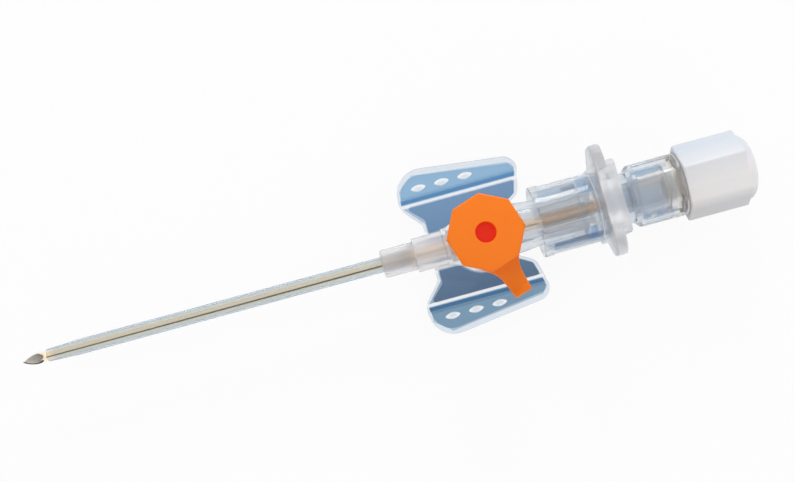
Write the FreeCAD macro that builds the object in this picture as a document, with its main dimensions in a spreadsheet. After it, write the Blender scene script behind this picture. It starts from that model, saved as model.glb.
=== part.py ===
import FreeCAD, Part
import math
import os
import Sketcher

# A large winged, ported peripheral cannula with its needle in place, as it comes out of the pack.
# X runs along the cannula, the needle tip towards -X; Z is up; the port stands on the Z axis.
# The origin is on the flat underside of the wings, straight below the port.
# Every body is drawn about the cannula's own axis and then lifted by axis_height.

doc = FreeCAD.newDocument("iv_cannula")
sheet = doc.addObject("Spreadsheet::Sheet", "Dims")


class Size:
    """A size that carries its number and the sheet expression that gives it."""

    def __init__(self, number, text):
        self.number = number
        self.text = text

    def joined(self, sign, other, number):
        return Size(number, "(%s %s %s)" % (self.text, sign, text_of(other)))

    def __add__(self, other):
        return self.joined("+", other, self.number + number_of(other))

    def __sub__(self, other):
        return self.joined("-", other, self.number - number_of(other))

    def __mul__(self, other):
        return self.joined("*", other, self.number * number_of(other))

    def __truediv__(self, other):
        return self.joined("/", other, self.number / number_of(other))

    def __neg__(self):
        return self * -1


def number_of(value):
    return value.number if isinstance(value, Size) else float(value)


def text_of(value):
    return value.text if isinstance(value, Size) else repr(float(value))


# Driving dimensions in millimetres. Places along X are measured from the port's axis,
# heights from the cannula's axis.
SIZES = {
    "axis_height": 3.6,
    "cone_slope": 0.03,
    "seat_gap": 0.05,
    # catheter tube
    "tube_r": 1.1,
    "tube_bore_r": 0.86,
    "tube_exposed": 49.5,
    "tube_tip_r": 0.92,
    "tube_taper": 4.5,
    "flare_ahead": 15.1,
    "flare_cone": 2.8,
    "tube_rear_ahead": 10.95,
    # metal bush that wedges the tube in the nozzle
    "bush_wall": 0.13,
    "bush_bore_r": 0.9,
    "bush_flange_r": 1.6,
    "bush_funnel": 0.4,
    "bush_length": 2.2,
    # catheter hub, turned part
    "nozzle_ahead": 14.9,
    "nozzle_r": 2.05,
    "nozzle_length": 4.8,
    "nozzle_round": 0.45,
    "nozzle_base_r": 2.48,
    "nozzle_base_length": 4.4,
    "step_round": 0.25,
    "collar_r": 2.75,
    "collar_length": 0.6,
    "barrel_ahead": 3.0,
    "barrel_r": 3.6,
    "barrel_behind": 5.0,
    "tail_start": 8.0,
    "tail_r": 3.3,
    "hub_behind": 14.9,
    "tail_round": 0.3,
    "channel_r": 1.45,
    "socket_r": 2.2,
    "lug_r": 3.9,
    "lug_width": 3.6,
    "lug_length": 1.8,
    "lug_setback": 0.6,
    "saddle_width": 3.2,
    # valve sleeve inside the hub
    "sleeve_r": 1.85,
    "sleeve_bore_r": 1.25,
    "sleeve_length": 9.8,
    # port
    "port_base_r": 5.0,
    "port_base_top": 1.2,
    "port_cone_top": 3.9,
    "port_neck_r": 3.2,
    "rim_bottom": 6.4,
    "rim_r": 3.7,
    "port_top": 7.5,
    "port_bore_r": 2.15,
    "port_bore_floor": 2.8,
    "port_hole_r": 1.2,
    "port_chamfer": 0.25,
    # wings
    "wing_rim_height": 1.1,
    "panel_height": 0.6,
    "outer_panel_height": 0.85,
    "crease_web": 0.35,
    "rim_width": 0.55,
    "edge_width": 1.0,
    "wing_root_front": 7.8,
    "wing_root_half": 4.2,
    "wing_front": 10.5,
    "wing_front_half": 7.3,
    "wing_corner_front": 10.0,
    "wing_corner_front_half": 12.8,
    "wing_corner_rear": 8.0,
    "wing_corner_rear_half": 10.55,
    "wing_waist_rear": 7.3,
    "wing_waist_half": 7.4,
    "wing_knee_rear": 6.7,
    "wing_knee_half": 5.0,
    "wing_root_rear": 3.8,
    "wing_root_rear_half": 3.3,
    "root_round": 1.0,
    "front_round": 2.6,
    "corner_front_round": 3.8,
    "corner_rear_round": 2.0,
    "waist_round": 0.6,
    "knee_round": 1.6,
    "ridge_half": 7.2,
    "crease_half": 7.7,
    "crease_width": 0.6,
    "bump_half": 9.6,
    "bump_first": 7.0,
    "bump_pitch": 3.5,
    "bump_length": 2.2,
    "bump_width": 0.8,
    "bump_height": 0.3,
    # swivel ring of the port cap
    "ring_bottom": 4.3,
    "ring_height": 1.0,
    "ring_r": 4.5,
    "ring_gap": 0.1,
    "hinge_reach": 4.75,
    "hinge_height": 5.85,
    "hinge_r": 0.3,
    "hinge_width": 3.2,
    # lid of the port cap
    "lid_azimuth": 288.0,
    "lid_r": 5.5,
    "lid_bottom": 7.6,
    "lid_thick": 1.4,
    "lid_chamfer": 0.3,
    "lid_corner_round": 0.45,
    "skirt_bottom": 5.7,
    "skirt_r": 4.5,
    "skirt_bore_r": 4.0,
    "plug_top_r": 1.95,
    "plug_end_r": 1.55,
    "plug_length": 2.0,
    "recess_r": 1.45,
    "recess_depth": 1.6,
    "tab_reach": 9.85,
    "tab_root_reach": 3.2,
    "tab_root_half": 3.3,
    "tab_waist_reach": 6.4,
    "tab_waist_half": 1.5,
    "tab_waist_round": 4.0,
    "tab_tip_half": 1.3,
    "tab_tip_round": 0.35,
    "tab_root_top": 7.2,
    "tab_root_bottom": 5.75,
    "tab_tip_top": 6.3,
    "tab_tip_bottom": 5.45,
    "tab_lip": 0.7,
    "tab_lip_height": 0.3,
    # needle
    "needle_r": 0.83,
    "needle_bore_r": 0.62,
    "needle_beyond": 4.3,
    "bevel_length": 4.3,
    "lancet_length": 1.9,
    "lancet_turn": 32.0,
    # needle hub
    "guard_front": 7.8,
    "guard_r": 5.0,
    "guard_wall": 0.6,
    "bead_length": 1.35,
    "bead_height": 0.15,
    "slot_width": 3.2,
    "slot_end_wall": 0.7,
    "flange_front": 16.5,
    "flange_thick": 1.5,
    "flange_top": 10.5,
    "flange_half": 7.8,
    "flange_ear_bottom": 5.6,
    "flange_waist_height": 2.2,
    "flange_waist_half": 5.4,
    "flange_low_height": 3.0,
    "flange_bottom": 5.5,
    "flange_bottom_half": 3.4,
    "ear_round": 2.4,
    "ear_low_round": 1.6,
    "boss_thick": 1.2,
    "boss_half": 5.2,
    "boss_bottom": 4.6,
    "boss_round": 1.2,
    "neck_front_r": 4.2,
    "neck_r": 3.6,
    "neck_length": 2.3,
    "male_length": 7.9,
    "male_gap": 0.06,
    "needle_seat": 17.2,
    "flow_r": 0.5,
    "rear_socket_r": 2.15,
    "rear_socket_depth": 3.5,
    # vent stopper
    "nose_length": 3.2,
    "chamber_length": 7.5,
    "chamber_r": 4.5,
    "chamber_core_r": 3.9,
    "front_band": 1.25,
    "rear_band": 0.7,
    "front_chamfer": 0.6,
    "rib_width": 3.6,
    "flash_r": 2.0,
    "flash_wall": 0.75,
    "gap_outer_r": 3.4,
    "gap_depth": 5.3,
    "nose_bore_r": 1.1,
    "nose_bore_depth": 4.5,
    "post_r": 3.3,
    "post_length": 7.5,
    "post_socket_r": 2.2,
    # filter disc
    "filter_thick": 1.2,
    # lock cap
    "cap_gap": 0.1,
    "cap_length": 10.4,
    "cap_body_r": 4.9,
    "cap_flat": 4.86,
    "cap_edge_round": 0.5,
    "cap_rib_length": 9.0,
    "cap_end_round": 2.0,
    "cap_bore_r": 4.15,
    "cap_end_wall": 2.2,
    "cap_nose_setback": 0.7,
}


class Sizes:
    """The sheet's sizes under their own names."""


d = Sizes()
for row, (alias, value) in enumerate(SIZES.items(), start=1):
    sheet.set("A%d" % row, alias)
    sheet.set("B%d" % row, repr(value))
    sheet.setAlias("B%d" % row, alias)
    setattr(d, alias, Size(value, "Dims.%s" % alias))
doc.recompute()


def new_body(name, azimuth=None):
    """A body about the cannula's axis, lifted to its height and turned about Z if an azimuth is given."""
    body = doc.addObject("PartDesign::Body", name)
    body.Label = name
    turn = text_of(azimuth) if azimuth else "0"
    place = "placement(vector(0; 0; %s); rotation(vector(0; 0; 1); %s))" % (d.axis_height.text, turn)
    body.setExpression("Placement", place)
    return body


def plane_of(body, role):
    return [item for item in body.Origin.OriginFeatures if item.Role == role][0]


def draw(sketch, corners):
    """One closed outline. A corner is (x, y) or (x, y, radius), and a radius rounds it."""
    numbers = [FreeCAD.Vector(number_of(c[0]), number_of(c[1]), 0) for c in corners]
    count = len(corners)
    first = sketch.GeometryCount
    for i in range(count):
        sketch.addGeometry(Part.LineSegment(numbers[i], numbers[(i + 1) % count]), False)
    for i in range(count):
        sketch.addConstraint(Sketcher.Constraint("Coincident", first + i, 2, first + (i + 1) % count, 1))
    for i in range(count):
        for kind, value in zip(("DistanceX", "DistanceY"), corners[i][:2]):
            index = sketch.addConstraint(Sketcher.Constraint(kind, first + i, 1, number_of(value)))
            sketch.setExpression("Constraints[%d]" % index, text_of(value))
    for i in range(count):
        if len(corners[i]) == 3:
            round_corner(sketch, first, count, i, numbers, corners[i][2])


def round_corner(sketch, first, count, i, numbers, radius):
    """Round one corner of an outline with a tangent arc."""
    before = (i - 1) % count
    towards_before = numbers[i] + (numbers[before] - numbers[i]) * 0.2
    towards_next = numbers[i] + (numbers[(i + 1) % count] - numbers[i]) * 0.2
    arc = sketch.GeometryCount
    sketch.fillet(first + before, first + i, towards_before, towards_next, number_of(radius), True, True)
    index = sketch.addConstraint(Sketcher.Constraint("Radius", arc, number_of(radius)))
    sketch.setExpression("Constraints[%d]" % index, text_of(radius))


def new_sketch(body, name, role, outlines, level=None):
    """A sketch on one of the body's own planes, with one or more closed outlines."""
    sketch = body.newObject("Sketcher::SketchObject", name + "_sketch")
    sketch.AttachmentSupport = [(plane_of(body, role), "")]
    sketch.MapMode = "FlatFace"
    if level is not None:
        sketch.setExpression("AttachmentOffset.Base.z", text_of(level))
    for outline in outlines:
        draw(sketch, outline)
    return sketch


def turned(body, name, profile, cut=False, upright=False):
    """A turned form about the cannula's axis, or about the port's axis if upright."""
    sketch = new_sketch(body, name, "XZ_Plane", [profile])
    kind = "PartDesign::Groove" if cut else "PartDesign::Revolution"
    feature = body.newObject(kind, name)
    feature.Profile = sketch
    feature.ReferenceAxis = (sketch, ["V_Axis" if upright else "H_Axis"])
    feature.Angle = 360
    return settled(body, feature, cut)


def slab(body, name, role, outlines, level, thickness, cut=False):
    """A flat form that rises from level by thickness along its plane's normal."""
    sketch = new_sketch(body, name, role, outlines, level)
    feature = body.newObject("PartDesign::Pocket" if cut else "PartDesign::Pad", name)
    feature.Profile = sketch
    feature.setExpression("Length", text_of(thickness))
    feature.Reversed = cut
    return settled(body, feature, cut)


def across(body, name, outlines, width, cut=False):
    """A form drawn from the side and made equally wide to both sides of the XZ plane."""
    sketch = new_sketch(body, name, "XZ_Plane", outlines)
    feature = body.newObject("PartDesign::Pocket" if cut else "PartDesign::Pad", name)
    feature.Profile = sketch
    feature.setExpression("Length", text_of(width))
    feature.Midplane = True
    return settled(body, feature, cut)


def settled(body, feature, cut):
    """Recompute, and stop if a cut took nothing away or an addition added nothing."""
    before = body.Shape.Volume if body.Shape and not body.Shape.isNull() else 0.0
    body.Tip = feature
    doc.recompute()
    after = body.Shape.Volume
    if (cut and after >= before) or (not cut and after <= before):
        raise ValueError("%s changed nothing" % feature.Name)
    return feature


def mirrored(outline):
    """The same outline on the other side of the XZ plane."""
    return [(corner[0], -corner[1]) + tuple(corner[2:]) for corner in reversed(outline)]


def box_outline(x_low, x_high, y_low, y_high):
    return [(x_low, y_low), (x_high, y_low), (x_high, y_high), (x_low, y_high)]


# Shared places along the cannula
nozzle_front = -d.nozzle_ahead
tube_tip = nozzle_front - d.tube_exposed
needle_tip = tube_tip - d.needle_beyond
tube_rear = -d.tube_rear_ahead
flare_front = -d.flare_ahead
flare_rear = flare_front + d.flare_cone
bush_r = d.bush_bore_r + d.bush_wall
flare_bore_r = bush_r + d.seat_gap / 5
flare_r = flare_bore_r + d.tube_r - d.tube_bore_r
bush_front = flare_rear + d.seat_gap
bush_rear = bush_front + d.bush_length
sleeve_half = d.sleeve_length / 2
hub_rear = d.hub_behind
flange_rear = d.flange_front + d.flange_thick
boss_rear = flange_rear + d.boss_thick
neck_rear = boss_rear + d.neck_length
rear_socket_floor = neck_rear - d.rear_socket_depth
chamber_front = neck_rear + d.seat_gap
chamber_rear = chamber_front + d.chamber_length
post_rear = chamber_rear + d.post_length
cap_front = chamber_rear + d.cap_gap
cap_rear = cap_front + d.cap_length
nose_front = chamber_front - d.nose_length
flash_front = nose_front + d.nose_bore_depth
filter_front = chamber_front + d.gap_depth
filter_rear = filter_front + d.filter_thick


def socket_at(x):
    """Radius of the hub's tapered socket at a place along X."""
    return d.socket_r - (hub_rear - x) * d.cone_slope


def rear_socket_at(x):
    """Radius of the needle hub's rear socket at a place along X."""
    return d.rear_socket_r - (neck_rear - x) * d.cone_slope


def post_socket_at(x):
    """Radius of the stopper's rear socket at a place along X."""
    return d.post_socket_r - (post_rear - x) * d.cone_slope


def wing_outline():
    """Plan of both wings with the strip under the hub that joins them."""
    upper = [
        (-d.wing_root_front, d.wing_root_half, d.root_round),
        (-d.wing_front, d.wing_front_half, d.front_round),
        (-d.wing_corner_front, d.wing_corner_front_half, d.corner_front_round),
        (d.wing_corner_rear, d.wing_corner_rear_half, d.corner_rear_round),
        (d.wing_waist_rear, d.wing_waist_half, d.waist_round),
        (d.wing_knee_rear, d.wing_knee_half, d.knee_round),
        (d.wing_root_rear, d.wing_root_rear_half),
    ]
    return upper + mirrored(upper)


def inner_panel_outline():
    """The thin inner panels, inside the rim and up to the ridge beside the crease."""
    slope_x = d.wing_front - d.wing_root_front
    upper = [
        (-d.wing_root_front + d.rim_width, d.wing_root_half + d.rim_width, d.root_round),
        (-d.wing_root_front - slope_x + d.rim_width * 1.4, d.ridge_half),
        (d.wing_waist_rear - d.rim_width, d.ridge_half),
        (d.wing_knee_rear - d.rim_width, d.wing_knee_half + d.rim_width * 0.3, d.root_round),
        (d.wing_root_rear - d.rim_width, d.wing_root_rear_half),
    ]
    return upper + mirrored(upper)


def outer_panel_outline():
    """The thin middle of one outer panel, inside its broad edge."""
    inner = d.crease_half + d.crease_width
    return [
        (-d.wing_front + d.rim_width, inner),
        (-d.wing_corner_front + d.rim_width, d.wing_corner_front_half - d.edge_width,
         d.corner_front_round - d.rim_width),
        (d.wing_corner_rear - d.rim_width, d.wing_corner_rear_half - d.edge_width,
         d.corner_rear_round - d.rim_width),
        (d.wing_waist_rear - d.rim_width * 0.5, inner),
    ]


def make_wings(body):
    """Both wings: plate, rims, thin panels, creases and the six grip bumps."""
    under = -d.axis_height
    slab(body, "wing_plate", "XY_Plane", [wing_outline()], under, d.wing_rim_height)
    inner_depth = d.wing_rim_height - d.panel_height
    slab(body, "inner_panels", "XY_Plane", [inner_panel_outline()], under + d.panel_height,
         inner_depth, cut=True)
    outer = outer_panel_outline()
    outer_depth = d.wing_rim_height - d.outer_panel_height
    slab(body, "outer_panels", "XY_Plane", [outer, mirrored(outer)], under + d.outer_panel_height,
         outer_depth, cut=True)
    crease = box_outline(-d.wing_front - d.rim_width, d.wing_corner_rear + d.rim_width,
                         d.crease_half, d.crease_half + d.crease_width)
    slab(body, "creases", "XY_Plane", [crease, mirrored(crease)], under + d.crease_web,
         d.wing_rim_height - d.crease_web, cut=True)
    for side_name, side in (("left", 1), ("right", -1)):
        for number in range(3):
            add_bump(body, "%s_bump_%d" % (side_name, number + 1), d.bump_pitch * number - d.bump_first,
                     d.bump_half * side, under + d.outer_panel_height)


def add_bump(body, name, x, y, z):
    """One low oval grip bump on an outer panel."""
    bump = body.newObject("PartDesign::AdditiveEllipsoid", name)
    bump.AttachmentSupport = [(plane_of(body, "XY_Plane"), "")]
    bump.MapMode = "FlatFace"
    for path, value in (("x", x), ("y", y), ("z", z)):
        bump.setExpression("AttachmentOffset.Base." + path, text_of(value))
    bump.setExpression("Radius1", text_of(d.bump_height))
    bump.setExpression("Radius2", text_of(d.bump_length / 2))
    bump.setExpression("Radius3", text_of(d.bump_width / 2))
    settled(body, bump, cut=False)


def make_catheter_hub():
    """The clear moulding of nozzle, barrel, port and wings."""
    body = new_body("catheter_hub")
    make_wings(body)
    saddle = box_outline(-d.wing_root_front, d.barrel_behind, -(d.saddle_width / 2), d.saddle_width / 2)
    slab(body, "saddle", "XY_Plane", [saddle], -d.axis_height, d.axis_height - d.channel_r)
    nozzle_rear = nozzle_front + d.nozzle_length
    collar_front = nozzle_rear + d.nozzle_base_length
    collar_rear = collar_front + d.collar_length
    turned(body, "barrel", [
        (nozzle_front, 0),
        (nozzle_front, d.nozzle_r, d.nozzle_round),
        (nozzle_rear, d.nozzle_r),
        (nozzle_rear, d.nozzle_base_r, d.step_round),
        (collar_front, d.nozzle_base_r),
        (collar_front, d.collar_r),
        (collar_rear, d.collar_r),
        (-d.barrel_ahead, d.barrel_r),
        (d.barrel_behind, d.barrel_r),
        (d.tail_start, d.tail_r),
        (hub_rear, d.tail_r, d.tail_round),
        (hub_rear, 0),
    ])
    turned(body, "port", [
        (0, -d.axis_height),
        (d.port_base_r, -d.axis_height),
        (d.port_base_r, d.port_base_top, d.nozzle_round),
        (d.port_neck_r, d.port_cone_top),
        (d.port_neck_r, d.rim_bottom),
        (d.rim_r, d.rim_bottom),
        (d.rim_r, d.port_top, d.tail_round),
        (0, d.port_top),
    ], upright=True)
    lugs(body, "lugs", hub_rear - d.lug_setback - d.lug_length)
    turned(body, "bore", [
        (nozzle_front - 1, 0),
        (nozzle_front - 1, d.tube_r + d.seat_gap / 5),
        (flare_front, d.tube_r + d.seat_gap / 5),
        (flare_rear, flare_r + d.seat_gap / 5),
        (tube_rear + d.seat_gap, flare_r + d.seat_gap / 5),
        (tube_rear + d.seat_gap, d.bush_flange_r + d.seat_gap / 5),
        (bush_rear + d.seat_gap, d.bush_flange_r + d.seat_gap / 5),
        (bush_rear + d.seat_gap, d.channel_r),
        (-sleeve_half - d.seat_gap, d.channel_r),
        (-sleeve_half - d.seat_gap, d.sleeve_r + d.seat_gap / 5),
        (sleeve_half + d.seat_gap, d.sleeve_r + d.seat_gap / 5),
        (sleeve_half + d.seat_gap, socket_at(sleeve_half + d.seat_gap)),
        (hub_rear, d.socket_r),
        (hub_rear, 0),
    ], cut=True)
    port_bore_end_r = d.port_bore_r - (d.port_top - d.port_bore_floor) * d.cone_slope
    turned(body, "port_bore", [
        (0, 0),
        (d.port_hole_r, 0),
        (d.port_hole_r, d.port_bore_floor),
        (port_bore_end_r, d.port_bore_floor),
        (d.port_bore_r, d.port_top - d.port_chamfer),
        (d.port_bore_r + d.port_chamfer, d.port_top),
        (0, d.port_top),
    ], cut=True, upright=True)
    return body


def lugs(body, name, front):
    """Two opposite lock lugs on a tube, for a quarter turn of a lock cap."""
    half = d.lug_width / 2
    shoulder = d.lug_r - d.port_chamfer * 2
    outline = [
        (shoulder, -half), (d.lug_r, -half / 2), (d.lug_r, half / 2), (shoulder, half),
        (-shoulder, half), (-d.lug_r, half / 2), (-d.lug_r, -half / 2), (-shoulder, -half),
    ]
    slab(body, name, "YZ_Plane", [outline], front, d.lug_length)


def make_catheter_tube():
    """The soft catheter: a thin tube, tapered at its tip and widened over the bush."""
    body = new_body("catheter_tube")
    turned(body, "tube", [
        (tube_tip, d.tube_bore_r),
        (tube_tip, d.tube_tip_r),
        (tube_tip + d.tube_taper, d.tube_r),
        (flare_front, d.tube_r),
        (flare_rear, flare_r),
        (tube_rear, flare_r),
        (tube_rear, flare_bore_r),
        (flare_rear, flare_bore_r),
        (flare_front, d.tube_bore_r),
    ])
    return body


def make_catheter_bush():
    """The metal funnel that holds the tube in the nozzle."""
    body = new_body("catheter_bush")
    neck = tube_rear + d.seat_gap * 2
    turned(body, "funnel", [
        (bush_front, d.bush_bore_r),
        (bush_front, bush_r),
        (neck, bush_r),
        (neck + d.bush_funnel, d.bush_flange_r),
        (bush_rear, d.bush_flange_r),
        (bush_rear, d.bush_flange_r - d.bush_wall),
        (neck + d.bush_funnel, d.bush_flange_r - d.bush_wall),
        (neck, d.bush_bore_r),
    ])
    return body


def make_valve_sleeve():
    """The elastic sleeve that closes the port from inside the hub."""
    body = new_body("valve_sleeve")
    turned(body, "sleeve", [
        (-sleeve_half, d.sleeve_bore_r),
        (-sleeve_half, d.sleeve_r),
        (sleeve_half, d.sleeve_r),
        (sleeve_half, d.sleeve_bore_r),
    ])
    return body


def make_cap_ring():
    """The ring that turns on the port's neck and carries the lid's hinge."""
    body = new_body("cap_ring", d.lid_azimuth)
    hinge_half = d.hinge_width / 2
    ring_top = d.ring_bottom + d.ring_height
    lip_top = d.hinge_height - d.hinge_r - d.seat_gap
    lip = box_outline(-d.hinge_reach - d.hinge_r, -(d.port_neck_r + d.ring_gap), -hinge_half, hinge_half)
    slab(body, "hinge_lip", "XY_Plane", [lip], d.ring_bottom, lip_top - d.ring_bottom)
    turned(body, "ring", [
        (d.port_neck_r + d.ring_gap, d.ring_bottom),
        (d.ring_r, d.ring_bottom, d.step_round),
        (d.ring_r, ring_top, d.step_round),
        (d.port_neck_r + d.ring_gap, ring_top),
    ], upright=True)
    return body


def make_port_cap():
    """The eight-sided lid with its skirt, plug, thumb tab and hinge knuckle; the tab points along +X."""
    body = new_body("port_cap", d.lid_azimuth)
    make_tab(body)
    hinge_half = d.hinge_width / 2
    web = box_outline(-d.hinge_reach, -d.skirt_bore_r, -hinge_half, hinge_half)
    turned(body, "skirt", [
        (0, d.skirt_bottom),
        (d.skirt_r, d.skirt_bottom),
        (d.skirt_r, d.lid_bottom),
        (0, d.lid_bottom),
    ], upright=True)
    slab(body, "hinge_web", "XY_Plane", [web], d.hinge_height, d.hinge_r)
    add_knuckle(body)
    turned(body, "skirt_bore", [
        (0, d.skirt_bottom),
        (d.skirt_bore_r, d.skirt_bottom),
        (d.skirt_bore_r, d.lid_bottom),
        (0, d.lid_bottom),
    ], cut=True, upright=True)
    half_step = math.pi / 8
    octagon = []
    for number in range(8):
        angle = half_step * (2 * number + 1)
        octagon.append((d.lid_r * math.cos(angle), d.lid_r * math.sin(angle), d.lid_corner_round))
    slab(body, "lid", "XY_Plane", [octagon], d.lid_bottom, d.lid_thick)
    turned(body, "plug", [
        (0, d.lid_bottom - d.plug_length),
        (d.plug_end_r, d.lid_bottom - d.plug_length, d.step_round),
        (d.plug_top_r, d.lid_bottom),
        (0, d.lid_bottom),
    ], upright=True)
    lid_top = d.lid_bottom + d.lid_thick
    turned(body, "recess", [
        (0, lid_top - d.recess_depth),
        (d.recess_r, lid_top - d.recess_depth),
        (d.recess_r, lid_top),
        (0, lid_top),
    ], cut=True, upright=True)
    chamfer_top(body, number_of(lid_top), d.lid_chamfer, number_of(d.recess_r))
    return body


def make_tab(body):
    """The thumb tab: waisted in plan, sloping down, with a raised lip at its tip."""
    upper = [
        (d.tab_root_reach, d.tab_root_half),
        (d.tab_waist_reach, d.tab_waist_half, d.tab_waist_round),
        (d.tab_reach, d.tab_tip_half, d.tab_tip_round),
    ]
    low = d.tab_tip_bottom - d.seat_gap
    slab(body, "tab", "XY_Plane", [upper + mirrored(upper)], low, d.tab_root_top - low)
    lip_start = d.tab_reach - d.tab_lip
    ceiling = d.tab_root_top + 1
    floor = low - 1
    above = [
        (d.tab_root_reach - 1, d.tab_root_top),
        (lip_start - d.tab_lip_height, d.tab_tip_top),
        (lip_start, d.tab_tip_top + d.tab_lip_height, d.tab_lip_height),
        (d.tab_reach + 1, d.tab_tip_top + d.tab_lip_height),
        (d.tab_reach + 1, ceiling),
        (d.tab_root_reach - 1, ceiling),
    ]
    below = [
        (d.tab_root_reach - 1, d.tab_root_bottom),
        (d.tab_root_reach - 1, floor),
        (d.tab_reach + 1, floor),
        (d.tab_reach + 1, d.tab_tip_bottom),
    ]
    across(body, "tab_slopes", [above, below], d.tab_root_half * 4, cut=True)


def add_knuckle(body):
    """The rounded edge about which the lid flips."""
    knuckle = body.newObject("PartDesign::AdditiveCylinder", "knuckle")
    knuckle.AttachmentSupport = [(plane_of(body, "XZ_Plane"), "")]
    knuckle.MapMode = "FlatFace"
    for path, value in (("x", -d.hinge_reach), ("y", d.hinge_height), ("z", -(d.hinge_width / 2))):
        knuckle.setExpression("AttachmentOffset.Base." + path, text_of(value))
    knuckle.setExpression("Radius", text_of(d.hinge_r))
    knuckle.setExpression("Height", text_of(d.hinge_width))
    settled(body, knuckle, cut=False)


def chamfer_top(body, height, size, inside_r):
    """Chamfer the outer edges of the flat face at a height."""
    base = body.Tip
    names = []
    for index, edge in enumerate(base.Shape.Edges, start=1):
        box = edge.BoundBox
        flat = abs(box.ZMin - height) < 1e-4 and abs(box.ZMax - height) < 1e-4
        middle = edge.CenterOfMass
        if flat and math.hypot(middle.x, middle.y) > inside_r + 1.0:
            names.append("Edge%d" % index)
    feature = body.newObject("PartDesign::Chamfer", "top_chamfer")
    feature.Base = (base, names)
    feature.setExpression("Size", text_of(size))
    settled(body, feature, cut=True)


def make_needle_tube():
    """The steel needle with its bevel and the two lancet facets that make its point."""
    body = new_body("needle_tube")
    turned(body, "tube", [
        (needle_tip, d.needle_bore_r),
        (needle_tip, d.needle_r),
        (d.needle_seat, d.needle_r),
        (d.needle_seat, d.needle_bore_r),
    ])
    heel = needle_tip + d.bevel_length
    bevel = [
        (needle_tip - 1, -d.needle_r - d.needle_r * 2 / d.bevel_length),
        (heel, d.needle_r),
        (heel, d.needle_r + 1),
        (needle_tip - 1, d.needle_r + 1),
    ]
    across(body, "bevel", [bevel], d.needle_r * 3, cut=True)
    for name, side in (("left_lancet", 1), ("right_lancet", -1)):
        lancet = new_sketch(body, name, "XZ_Plane", [[
            (needle_tip - 1, -d.needle_r - d.needle_r / d.lancet_length),
            (needle_tip + d.lancet_length, 0),
            (needle_tip + d.lancet_length, d.needle_r + 1),
            (needle_tip - 1, d.needle_r + 1),
        ]])
        turn = "placement(vector(0; 0; 0); rotation(vector(1; 0; 0); %s))" % text_of(d.lancet_turn * side)
        lancet.setExpression("AttachmentOffset", turn)
        feature = body.newObject("PartDesign::Pocket", name)
        feature.Profile = lancet
        feature.setExpression("Length", text_of(d.needle_r * 6))
        feature.Midplane = True
        settled(body, feature, cut=True)
    return body


def make_needle_hub():
    """The clear hub of the needle: cone, slotted guard, thumb flange, boss and neck."""
    body = new_body("needle_hub")
    guard_in = d.guard_r - d.guard_wall
    male_front = d.flange_front - d.male_length
    turned(body, "core", [
        (male_front, 0),
        (male_front, socket_at(male_front) - d.male_gap, d.port_chamfer),
        (d.flange_front, socket_at(d.flange_front) - d.male_gap),
        (d.flange_front, d.guard_r),
        (flange_rear, d.guard_r),
        (boss_rear, d.neck_front_r),
        (neck_rear, d.neck_r),
        (neck_rear, 0),
    ])
    turned(body, "guard", [
        (d.guard_front, guard_in),
        (d.guard_front, d.guard_r + d.bead_height, d.bead_height),
        (d.guard_front + d.bead_length, d.guard_r + d.bead_height, d.bead_height / 2),
        (d.guard_front + d.bead_length, d.guard_r),
        (flange_rear, d.guard_r),
        (flange_rear, guard_in),
    ])
    slot_rear = d.flange_front - d.slot_end_wall
    slot = box_outline(d.guard_front - 1, slot_rear, -(d.slot_width / 2), d.slot_width / 2)
    clear = (guard_in + d.socket_r) / 2
    height = d.guard_r + d.bead_height + 1 - clear
    slab(body, "top_slot", "XY_Plane", [slot], clear, height, cut=True)
    slab(body, "bottom_slot", "XY_Plane", [slot], -clear - height, height, cut=True)
    right = [
        (d.flange_half, d.flange_top, d.ear_round),
        (d.flange_half, d.flange_ear_bottom, d.ear_low_round),
        (d.flange_waist_half, d.flange_waist_height, d.ear_low_round),
        (d.flange_waist_half, -d.flange_low_height, d.ear_low_round),
        (d.flange_bottom_half, -d.flange_bottom, d.boss_round),
    ]
    left = [(-corner[0],) + tuple(corner[1:]) for corner in reversed(right)]
    slab(body, "flange", "YZ_Plane", [right + left], d.flange_front, d.flange_thick)
    boss = [
        (d.boss_half, -d.boss_bottom, d.boss_round),
        (d.boss_half, d.flange_top, d.boss_round),
        (-d.boss_half, d.flange_top, d.boss_round),
        (-d.boss_half, -d.boss_bottom, d.boss_round),
    ]
    slab(body, "boss", "YZ_Plane", [boss], flange_rear, d.boss_thick)
    turned(body, "flow_bore", [
        (male_front - 1, 0),
        (male_front - 1, d.needle_r + d.seat_gap / 5),
        (d.needle_seat, d.needle_r + d.seat_gap / 5),
        (d.needle_seat, d.flow_r),
        (rear_socket_floor, d.flow_r),
        (rear_socket_floor, rear_socket_at(rear_socket_floor)),
        (neck_rear, d.rear_socket_r),
        (neck_rear, 0),
    ], cut=True)
    return body


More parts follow.
